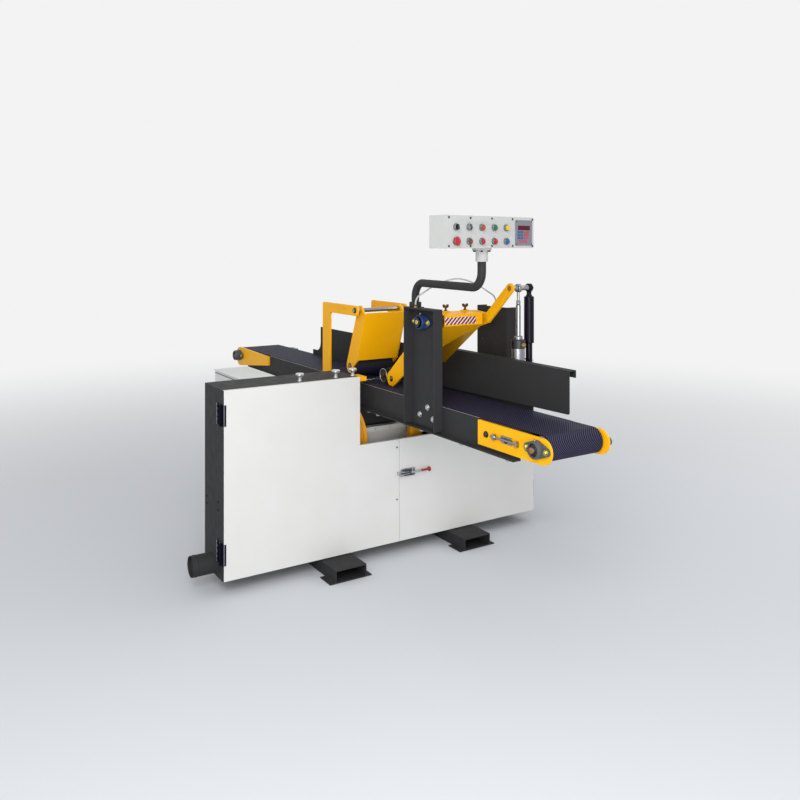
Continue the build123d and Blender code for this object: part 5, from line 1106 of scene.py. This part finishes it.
# %% Air cylinder
STRUT_FOOT = 900.0
CYLINDER_X = 206.0
CYLINDER = (CYLINDER_X, PIN_Y, 0.0)
CYLINDER_TUBE = [(924, 20), (925, 31), (928, 32), (1213, 32), (1215, 31)]
CYLINDER_HEAD = [(1214, 33), (1216, 35), (1253, 35), (1256, 33), (1257, 22)]
CYLINDER_GLAND = [(1256, 19), (1258, 20.5), (1270, 20.5), (1273, 18), (1275, 14)]
CYLINDER_ROD = [(1150, 10), (1151, 11.8), (1424, 11.8), (1426, 9), (1430, 6.5), (1488, 6.5)]
PORT = [(32, 10), (38, 10), (39, 7.5), (44, 7.5), (45, 5), (41, 4)]


def strut_eye(x, z, radius, hole):
    """A flat ring across X, its edges eased, round a pin."""
    wall = [(-10, hole), (-10, radius - 1.5), (-8.5, radius), (8.5, radius), (10, radius - 1.5), (10, hole)]
    return turned(wall, (x, PIN_Y, z), RIGHT, tube=True)


cylinder = [
    turned(CYLINDER_TUBE, CYLINDER, UP, 56),
    strut_eye(CYLINDER_X, STRUT_FOOT, 17, 8.1),
    turned([(915, 10), (926, 12)], CYLINDER, UP, 24),
    *in_finish(1, [turned(CYLINDER_HEAD, CYLINDER, UP, 56)]),
    *in_finish(2, [turned(CYLINDER_GLAND, CYLINDER, UP)]),
    *in_finish(3, [turned(PORT, (CYLINDER_X, PIN_Y, 1232), OUT, 24)]),
]
piece("air_cylinder_turned", cylinder, [aluminium, dark_steel, steel, brass], "air_cylinder",
      ("air_cylinder",), bevel=0.4)
rod = [
    turned(CYLINDER_ROD, CYLINDER, UP),
    *in_finish(1, hex_bolt((CYLINDER_X, PIN_Y, 1428), UP, 20, 20, 11)),
    *in_finish(1, [strut_eye(CYLINDER_X, PIN_Z, 20.5, 13)]),
]
piece("cylinder_rod_chromed", rod, [chrome, steel], "cylinder_rod", ("cylinder_rod",), bevel=0.4)
print("cylinder stroke seen", CYLINDER_ROD[2][0] - CYLINDER_GLAND[-1][0], "mm")

# %% Damper
DAMPER_X = 275.0
DAMPER = (DAMPER_X, PIN_Y, 0.0)
DAMPER_TUBE = [(924, 9), (925, 15), (928, 16.5), (1296, 16.5), (1300, 14)]
DAMPER_SLEEVE = [(1236, 22), (1236, 24.5), (1238, 25), (1242, 24.5), (1458, 24.5), (1463, 23.5), (1465, 20),
                 (1465, 9), (1460, 9), (1460, 19), (1456, 21.5)]
DAMPER_NECK = [(1463, 9), (1464, 15), (1470, 15), (1473, 12), (1482, 11.5), (1486, 13)]
DAMPER_BUSH = [(-8, 13), (-8, 15.2), (8, 15.2), (8, 13)]
damper = [
    turned(DAMPER_TUBE, DAMPER, UP, 48),
    strut_eye(DAMPER_X, STRUT_FOOT, 17, 8.1),
    turned([(915, 8), (926, 9.5)], DAMPER, UP, 24),
]
piece("damper_tube_gloss", damper, damper_gloss, "damper_tube", ("damper_tube",),
      bevel=0.4)
sleeve = [
    turned(DAMPER_SLEEVE, DAMPER, UP, 56, tube=True),
    turned(DAMPER_NECK, DAMPER, UP),
    strut_eye(DAMPER_X, PIN_Z, 21, 15),
    *in_finish(1, [turned(DAMPER_BUSH, (DAMPER_X, PIN_Y, PIN_Z), RIGHT, 32, tube=True)]),
    *in_finish(2, [turned([(1100, 4.8), (1462, 4.8)], DAMPER, UP, 20)]),
]
piece("damper_sleeve_gloss", sleeve, [damper_gloss, roller_rubber, chrome], "damper_rod",
      ("damper_rod",), bevel=0.4)
print("damper", DAMPER_SLEEVE[6][0] - DAMPER_TUBE[1][0], "mm")

# %% [markdown]
# The rear hold-down swings on a chromed shaft between the two gallows brackets, with a set collar inside
# each, and carries a rubber-covered roller.

# %% Rear hold-down
SHAFT = (0, 185.0, 1346.0)
ROLLER = (0, 300.0, 1016.0)
SET_COLLAR = [(137, 17), (138, 18.5), (150, 18.5), (151, 17)]
SHAFT_END = [(167.2, 16), (169, 15.4), (169, 12.4), (175, 12.4), (176, 11), (174, 9)]
ROLLER_COVER = [(-121, 30), (-121, 61), (-118, 64), (118, 64), (121, 61), (121, 30)]
ROLLER_CORE = [(120.5, 31), (122.5, 31), (122.5, 20), (121, 19)]
REAR_AXLE = [(-139, 9), (-138, 11.8), (138, 11.8), (139, 9)]
AXLE_RING = [(135, 20), (136.6, 19), (136.6, 14.5), (135.4, 14)]
softened("rear_swing", [yellow, chrome], bevel=1.6, join=False, areas=[
    (1, (low, 172, 1333), (high, 198, 1359)) for low, high in ((-124, 124), (-190, -136), (136, 190))])
collars = []
for side in (-1, 1):
    collars.append(turned(SET_COLLAR, SHAFT, (side, 0, 0), 36))
    collars.append(cap_screw((side * 144, SHAFT[1], 1364), UP, 3.6, 2))
    collars += in_finish(1, [turned(SHAFT_END, SHAFT, (side, 0, 0), 28)])
piece("rear_shaft_collars", collars, [zinc, dark_steel], "rear_swing", bevel=0.4)
rear_roller = [
    turned(ROLLER_COVER, ROLLER, RIGHT, 72),
    *in_finish(1, [turned(ROLLER_CORE, ROLLER, axis) for axis in (LEFT, RIGHT)]),
    *in_finish(1, [turned(REAR_AXLE, ROLLER, RIGHT, 28)]),
]
piece("rear_roller_covered", rear_roller, [roller_rubber, amber_grease], "rear_roller",
      ("rear_roller",), bevel=0.4)
rings = [turned(AXLE_RING, ROLLER, axis, 32, tube=True) for axis in (LEFT, RIGHT)]
piece("rear_axle_rings", rings, dark_steel, "rear_swing", bevel=0.3)
print("rear shaft", SHAFT)

# %% [markdown]
# The posts are rolled channels with plain painted faces. The air fittings on them are brass, with a black
# collar that grips the hose.

# %% Posts and air fittings
FITTINGS = ((-191.0, -470.0, 1408.0), (244.0, -558.0, 1400.0))
HOSE_COLLAR = [(8, 7), (9, 7.6), (13, 7.2), (14, 5)]
WEB_PLUG = [(0, 7), (1, 6.6), (1.4, 4)]
WEB_PLUGS = ((-453, 1224), (-492, 1226))
TUBE_MIDDLE = np.array([-165.0, -429.0])
softened("posts", charcoal, bevel=1.4, areas=[
    (None, (x - 9, y - 9, z + 0.2), (x + 9, y + 9, z + 30)) for x, y, z in FITTINGS])
air = []
for place in FITTINGS:
    air += hex_bolt(place, UP, 15, 8, 9.5)
    air += in_finish(1, [turned(HOSE_COLLAR, place, UP, 24)])
piece("air_fittings", air, [brass, black_plastic], "conveyor", bevel=0.4)
piece("post_plugs", [turned(WEB_PLUG, (240, y, z), LEFT, 16) for y, z in WEB_PLUGS], black_plastic,
      "conveyor")
screws = [cap_screw((*place, 1420), (*(place - TUBE_MIDDLE), 0), 4.5, 3)
          for place in ring_line(TUBE_MIDDLE, 30, 3)]
piece("arm_collar_screws", screws, dark_steel, "control_arm", bevel=0.3)
print("fittings", len(FITTINGS))

# %% [markdown]
# The control box is folded sheet with a screwed-on front panel, on a swivel flange. It is drawn square to
# the machine and then turned on its swivel, as the drawing does, so one function turns every piece on it.

# %% Control box
BOX_PIVOT = np.array([-204.0, -1010.0, 0.0])
BOX_TURN = math.radians(9.8)
BOX_LEFT = -472.0
BOX_FACE = -1062.0
BOX_BOTTOM = 1702.0
BOX_TOP = 1840.0
PANEL_SCREWS = (10, 140, 275, 412, 550)
FLANGE_START = math.radians(-210.2)


def with_box(shapes):
    """Shapes drawn square to the machine, turned with the box about its swivel."""
    cosine = math.cos(BOX_TURN)
    sine = math.sin(BOX_TURN)
    turn = np.array([[cosine, sine, 0], [-sine, cosine, 0], [0, 0, 1]])
    return [((shape[0] - BOX_PIVOT) @ turn + BOX_PIVOT, *shape[1:]) for shape in shapes]


softened("control_box", light_grey, bevel=2.2, join=False)
screws = [cap_screw((BOX_LEFT + along, BOX_FACE, z), OUT, 4.6, 2.6)
          for along in PANEL_SCREWS for z in (BOX_BOTTOM + 10, BOX_TOP - 10)]
screws += [cap_screw((x, y, BOX_BOTTOM - 9), DOWN, 6, 7)
           for x, y in ring_line(BOX_PIVOT[:2], 34, 5, FLANGE_START)]
piece("box_screws", with_box(screws), black_plastic, "control_box", bevel=0.3)
print("box screws", len(screws))

# %% [markdown]
# Every operator sits in a chromed ring screwed to the panel. Push buttons are shallow domes, the emergency
# stop is a mushroom, and the two switches turn. The rings stay with the box, the caps move.

# %% Operators
COLUMNS = (50.0, 129.0, 208.0, 287.0, 366.0)
ROWS = (1791.0, 1732.0)
RING_WALL = [(0, 14.8), (2, 15.2), (9, 14.6), (11.5, 13.4), (11.5, 11.6), (0, 11.4)]
STOP_COLLAR = [(0, 17.5), (3, 17), (3.6, 15.4), (0, 14.6)]
PUSH_CAP = [(4.6, 8), (4.6, 11), (14, 11), (15.6, 10.2), (16.4, 7.5), (16.7, 3.5)]
STOP_CAP = [(4.6, 8), (5, 13), (8, 14), (9.5, 18.4), (12.5, 19), (14.6, 17), (16, 12), (16.5, 5)]
STEM = [(-22, 6), (-22, 7.8), (4.7, 7.8), (4.7, 6)]
STOP = (0, 1)
BUTTONS = {
    "button_orange": ((2, 0), orange_plastic, "orange_plastic"),
    "button_green": ((3, 0), green_plastic, "green_plastic"),
    "button_yellow": ((4, 0), yellow_plastic, "yellow_plastic"),
    "button_brown": ((1, 1), brown_plastic, "brown_plastic"),
    "button_red_left": ((2, 1), red_plastic, "red_plastic"),
    "button_red_right": ((3, 1), red_plastic, "red_plastic"),
    "button_blue": ((4, 1), blue_plastic, "blue_plastic"),
    "emergency_stop": (STOP, red_plastic, "red_plastic"),
}


def panel_place(column, row):
    """Middle of an operator on the panel, before the box is turned."""
    return np.array([BOX_LEFT + COLUMNS[column], BOX_FACE, ROWS[row]])


cells = [(column, row) for row in range(len(ROWS)) for column in range(len(COLUMNS))]
rings = [turned(STOP_COLLAR if cell == STOP else RING_WALL, panel_place(*cell), OUT, tube=True)
         for cell in cells]
piece("operator_rings", with_box(rings), chrome, "control_box", bevel=0.3)
for node, (cell, paint, slot) in BUTTONS.items():
    place = panel_place(*cell)
    cap = turned(STOP_CAP if cell == STOP else PUSH_CAP, place, OUT)
    stem = in_finish(1, [turned(STEM, place, OUT, 20)])
    piece(node + "_cap", with_box([cap, *stem]), [paint, black_plastic], node, (node,), bevel=0.3)
print("buttons", len(BUTTONS))

# %% Turning switches
SELECTOR_BOSS = [(0.6, 8), (0.6, 11), (8, 11), (9.5, 9.5), (10, 5)]
SELECTOR_GRIP = np.array([(-4, -10.6), (4, -10.6), (3, 10.6), (-3, 10.6)])
KEY_LOCK = [(0.6, 8), (0.6, 11), (6, 11), (7.5, 9.8), (7.5, 5), (6.8, 4)]
place = panel_place(0, 0)
x, _, z = place
selector = [
    turned(SELECTOR_BOSS, place, OUT, 36),
    plate(eased(SELECTOR_GRIP + (x, z), 2.5), (BOX_FACE - 20, BOX_FACE - 8), "y"),
    turned(STEM, place, OUT, 20),
    *in_finish(1, [tile((x - 1.8, x + 1.8), (z + 1, z + 9), (BOX_FACE - 20.6, BOX_FACE - 19.9), "y", 0.8)]),
]
piece("selector_switch_knob", with_box(selector), [black_plastic, green_plastic], "selector_switch",
      ("selector_switch",), bevel=0.6)
place = panel_place(1, 0)
x, _, z = place
bow = taut_line([(BOX_FACE - 12, z, 7.5), (BOX_FACE - 17, z, 7.5)], 40)
key = [
    turned(KEY_LOCK, place, OUT, 36),
    plate(bow, (x - 1.2, x + 1.2), "x"),
    tile((BOX_FACE - 12, BOX_FACE - 6), (z - 3.5, z + 3.5), (x - 1, x + 1), "x"),
    *in_finish(1, [turned(STEM, place, OUT, 20)]),
]
piece("key_switch_lock", with_box(key), [steel, black_plastic], "key_switch", ("key_switch",),
      bevel=0.4)
print("switches at", COLUMNS[:2])

# %% [markdown]
# The feed display is a keypad under film: a grey frame, a dark red window and plain coloured keys.

# %% Display
FRAME_X = (BOX_LEFT + 430, BOX_LEFT + 545)
FRAME_Z = (1714.0, 1826.0)
FRAME_CORNER = np.array([FRAME_X[0], FRAME_Z[0]])
FRAME_FACE = BOX_FACE - 3
WINDOW = ((16.0, 68.0), (99.0, 88.0))
KEY_LOW = np.array([-8.0, 0.0])
KEY_HIGH = np.array([8.0, 10.0])
KEYS = {1: [(22 + 20 * i, 54 - 13 * j) for i in (0, 1) for j in (0, 1, 2)],
        2: [(64 + 20 * i, 54 - 13 * j) for i in (0, 1) for j in (0, 1)],
        3: [(64 + 20 * i, 28) for i in (0, 1)] + [(32 + 20 * i, 13) for i in (0, 1, 2)]}


def film(low, high, rise):
    """A thin rounded tile on the frame, between two corners measured from the frame's own."""
    across, up = zip(FRAME_CORNER + low, FRAME_CORNER + high)
    return tile(across, up, (FRAME_FACE - rise, FRAME_FACE), "y", 1.5)


panel = [tile(FRAME_X, FRAME_Z, (FRAME_FACE, BOX_FACE), "y", 4), *in_finish(4, [film(*WINDOW, 0.8)])]
for colour, places in KEYS.items():
    panel += in_finish(colour, [film(KEY_LOW + place, KEY_HIGH + place, 1.0) for place in places])
panel += in_finish(5, [cap_screw((x, FRAME_FACE, z), OUT, 2.6, 1.4)
                       for x in (FRAME_X[0] + 6, FRAME_X[1] - 6) for z in (FRAME_Z[0] + 6, FRAME_Z[1] - 6)])
piece("feed_display", with_box(panel),
      [frame_grey, blue_plastic, orange_plastic, pink_plastic, window_red, black_plastic],
      "control_box", bevel=0.5)
print("keys", sum(len(places) for places in KEYS.values()))

# %% [markdown]
# Three motors drive the machine. Each has a ribbed cast shell, an end shield and a fan cover with raised
# rings; the main motor has a terminal box too. The ribs are a gear-shaped outline carried along the axis.

# %% Motors
def ribbed(x, z, ends, radius, ribs):
    """Motor shell along Y: a ring whose radius steps between the ribs' tops and the shell."""
    angle = (np.arange(ribs)[:, None] + np.array([0, 0.34, 0.46, 0.88])).ravel() / ribs * 2 * np.pi
    reach = np.tile([radius, radius, 0.9 * radius, 0.9 * radius], ribs)
    outline = np.stack([x + reach * np.cos(angle), z + reach * np.sin(angle)], -1)
    return plate(outline, ends, "y")


def fan_cover(place, radius, length, axis):
    """Pressed fan cover on a motor's back, with four raised rings."""
    shell = [(0, radius), (0.7 * length, radius), (0.95 * length, 0.88 * radius), (length, 0.8 * radius)]
    ridges = [[(length - 1, r), (length + 2, r - 1), (length + 2, r - 3), (length - 1, r - 4)]
              for r in np.linspace(0.25, 0.75, 4) * radius]
    return [turned(shell, place, axis, 48), *[turned(ridge, place, axis, tube=True) for ridge in ridges]]


def end_shield(place, radius, axis):
    """Domed end shield with a bearing boss."""
    dome = [(0, radius), (8, radius), (12, 0.9 * radius), (16, 0.5 * radius), (17.5, 0.45 * radius)]
    return turned(dome, place, axis, 48)


def terminal_box(x, y, z, lid):
    """Terminal box with a lid, and its four screws and the cable gland on its side."""
    top = z[1] + lid
    case = [block(x, y, z, 5), block((x[0] - 1.5, x[1] + 1.5), (y[0] - 1.5, y[1] + 1.5), (z[1], top), 6)]
    screws = [cap_screw((across, along, top), UP, 4, 2.4)
              for across in (x[0] + 8, x[1] - 8) for along in (y[0] + 8, y[1] - 8)]
    gland = turned(BOX_GLAND, (x[1], sum(y) / 2, sum(z) / 2), RIGHT, 12)
    return case, screws + [gland]


BOX_GLAND = [(0, 12), (4, 12), (5, 10), (14, 10), (15, 7), (15, 4)]
MOTOR_X = 432.0
MOTOR_Z = 210.0
MOTOR_ENDS = (464, 676)
case, small = terminal_box((381, 483), (499, 601), (300, 346), 6)
main_motor = [
    ribbed(MOTOR_X, MOTOR_Z, MOTOR_ENDS, 105, 36),
    end_shield((MOTOR_X, MOTOR_ENDS[0], MOTOR_Z), 104, OUT),
    *fan_cover((MOTOR_X, MOTOR_ENDS[1], MOTOR_Z), 103, 77, BACK),
    *case,
    *[block((x, x + 46), (y, y + 60), (78, 124), 3) for x in (336, 482) for y in (505, 640)],
    *in_finish(1, [block((282, 582), (445, 755), (66, 78), 6)]),
    *in_finish(2, small),
    *in_finish(2, hex_bolts([(x, y, 124) for x in (352, 512) for y in (535, 670)], UP, 18, 9, 13)),
]
piece("main_motor_ribbed", main_motor, [motor_blue, charcoal, zinc], "base", ("main_motor",),
      bevel=0.8)
print("main motor shapes", len(main_motor))

# %% Feed gearmotor and lift jack
FEED_X = 251.3
FEED_Z = 804.7
FEED_ENDS = (1700, 1872)
DRUM_Y = 1940.0
GEARBOX_X = (197.4, 287.2)
GEARBOX_COVERS = ((19, DRUM_Z), (46, 812.0))
feed_motor = [
    block(GEARBOX_X, (DRUM_Y - 54, DRUM_Y + 54), (747, 912.5), 10),
    *[turned([(0, r), (5, r), (7, r - 4), (8, r / 2)], (GEARBOX_X[1], DRUM_Y, z), RIGHT, 48)
      for r, z in GEARBOX_COVERS],
    block((CHEEK, 198), (1885, 1897), (832, 852)),
    ribbed(FEED_X, FEED_Z, FEED_ENDS, 57, 28),
    end_shield((FEED_X, FEED_ENDS[1], FEED_Z), 57, BACK),
    *fan_cover((FEED_X, FEED_ENDS[0], FEED_Z), 56, 52, OUT),
    *in_finish(1, [cap_screw((292, y, z), RIGHT, 4.5, 4)
                   for y, z in ring_line((DRUM_Y, GEARBOX_COVERS[1][1]), 39, 6, start=0.5)]),
]
piece("feed_gearmotor_ribbed", feed_motor, [motor_blue, zinc], "conveyor",
      ("feed_gearmotor",), bevel=1.0)
JACK_Z = 319.0
JACK_ENDS = (490, 600)
JACK_WALLS = (((-60, -21), (260, 380)), ((21, 60), (260, 380)),
              ((-21, 21), (260, 299)), ((-21, 21), (341, 380)))
JACK_TUBE = [(90, 20), (91, 27), (94, 28), (304, 28), (304, 23), (96, 23), (96, 2)]
jack = [
    *[block(x, y, (305, 371), 4) for x, y in JACK_WALLS],
    turned(JACK_TUBE, (0, 320, 0), UP),
    turned([(380, 9), (476, 9)], (0, 0, JACK_Z), BACK, 24),
    ribbed(0, JACK_Z, JACK_ENDS, 45, 24),
    end_shield((0, JACK_ENDS[0], JACK_Z), 45, OUT),
    *fan_cover((0, JACK_ENDS[1], JACK_Z), 44, 37, BACK),
]
piece("lift_jack_ribbed", jack, motor_blue, "base", ("screw_jack",), bevel=0.8)
print("gearmotor shapes", len(feed_motor), "jack shapes", len(jack))

# %% [markdown]
# V belts run from the motor pulley to the shaft pulley. Both pulleys are grooved castings: lathe profiles
# with one V for each belt.

# %% Pulleys and V belts
PULLEY_FRONT = 350.0
PULLEY_BACK = 407.0
PITCH = 19.0
BELT_MIDDLES = [PULLEY_FRONT + PITCH * (n + 0.5) for n in range(3)]
DRIVE_SHAFT = [(60, 21), (62, 24.8), (405, 24.8), (407, 22)]
MOTOR_SHAFT = [(350, 17), (352, 18.8), (548, 18.8), (550, 17)]


def pulley(x, z, radius, bore):
    """Grooved pulley along Y: a rim with a V for each belt, two dished faces and a hub."""
    face = [(0, bore), (0, bore + 18), (10, bore + 20), (10, radius - 18), (0, radius - 16), (0, radius)]
    groove = [(-8, 0), (-4.5, -9), (4.5, -9), (8, 0)]
    rim = [(middle + way, radius + depth) for middle in BELT_MIDDLES for way, depth in groove]
    profile = [(PULLEY_FRONT + depth, r) for depth, r in face] + rim
    profile += [(PULLEY_BACK - depth, r) for depth, r in face[::-1]]
    return turned(profile, (x, 0, z), BACK, 64, tube=True)


shaft = turned(DRIVE_SHAFT, (WHEEL_X, 0, WHEEL_Z), BACK, 40)
grooved = in_finish(1, [pulley(WHEEL_X, WHEEL_Z, 124.5, 24.6)])
piece("drive_shaft_pulley", [shaft, *grooved], [steel, cast_iron], "drive_wheel", ("drive_shaft",),
      bevel=0.5)
shaft = turned(MOTOR_SHAFT, (MOTOR_X, 0, MOTOR_Z), BACK, 32)
grooved = in_finish(1, [pulley(MOTOR_X, MOTOR_Z, 69.5, 18.6)])
piece("motor_pulley_grooved", [shaft, *grooved], [steel, cast_iron], "motor_pulley",
      ("motor_pulley",), bevel=0.5)
inner = taut_line([(MOTOR_X, MOTOR_Z, 70.4), (WHEEL_X, WHEEL_Z, 125.4)], 160)
outer = taut_line([(MOTOR_X, MOTOR_Z, 80.2), (WHEEL_X, WHEEL_Z, 135.2)], 160)
v_belts = []
for middle in BELT_MIDDLES:
    corners = [np.insert(edge, 1, middle + shift, axis=1)
               for edge, shift in ((inner, -4.5), (inner, 4.5), (outer, 6.5), (outer, -6.5))]
    v_belts.append(skin(np.stack(corners, 1), loop=True))
piece("v_belts", v_belts, v_belt_rubber, "base", ("drive_belts",))
print("V belts", len(v_belts))

# %% [markdown]
# Small fittings finish the machine's back: vents in the belt guard, screws round the lift housing's lid,
# locks and hinges on the switch cabinet, and bolts in the bearing flange.

# %% Small fittings
GUARD_BACK = 433.0
GUARD_SCREWS = ((485, 765), (350, 640), (620, 640), (345, 250), (520, 150))
LOCK = [(0, 13), (3, 13), (5, 11), (5, 6), (4, 5)]
CASE_HINGE = [(0, 6), (1, 7), (59, 7), (60, 6)]
GLAND = [(0, 13), (6, 13), (7, 10), (18, 10), (20, 7)]
louvres = [block((450, 520), (GUARD_BACK, GUARD_BACK + 4), (z, z + 9)) for z in np.arange(470, 690, 24)]
louvres += in_finish(1, [cap_screw((x, GUARD_BACK, z), BACK, 5, 4) for x, z in GUARD_SCREWS])
piece("guard_louvres", louvres, [charcoal, zinc], "base", bevel=1.5)
screws = [cap_screw((x, 159, 670), OUT, 5, 3) for x in (-150, -50, 50, 150)]
screws += [cap_screw((side * 179, y, 670), (side, 0, 0), 5, 3) for side in (-1, 1) for y in (190, 320, 450)]
screws += hex_bolts([(x, 298, z) for x, z in ring_line((WHEEL_X, WHEEL_Z), 90, 6)], BACK, 18, 9, 13)
piece("housing_screws", screws, zinc, "base", bevel=0.4)
cabinet = [
    *[turned(LOCK, (-804, 640, z), LEFT, 32) for z in (480, 870)],
    *[turned(CASE_HINGE, (-806, 290, z), UP, 20) for z in (430, 860)],
    *[turned(GLAND, (-700, y, 350), DOWN, 12) for y in (360, 420, 480)],
    # The two thin black strips just under the lid's edge are painted shade of the gap under the lid.
    block((-804.8, -803.8), (282, 678), (984, 989), 0.4),
    block((-802, -612), (679.8, 680.8), (984, 989), 0.4),
]
piece("switch_cabinet_fittings", cabinet, black_plastic, "base", bevel=0.5)
wiper = [block((x, x + 14), (203, 437), (684, 690)) for x in (-136, 122)]
wiper += [block((-136, 136), (y, y + 12), (684, 690)) for y in (203, 425)]
piece("ram_wiper", wiper, roller_rubber, "base", bevel=0.8)
print("small fittings", len(louvres) + len(screws) + len(cabinet))
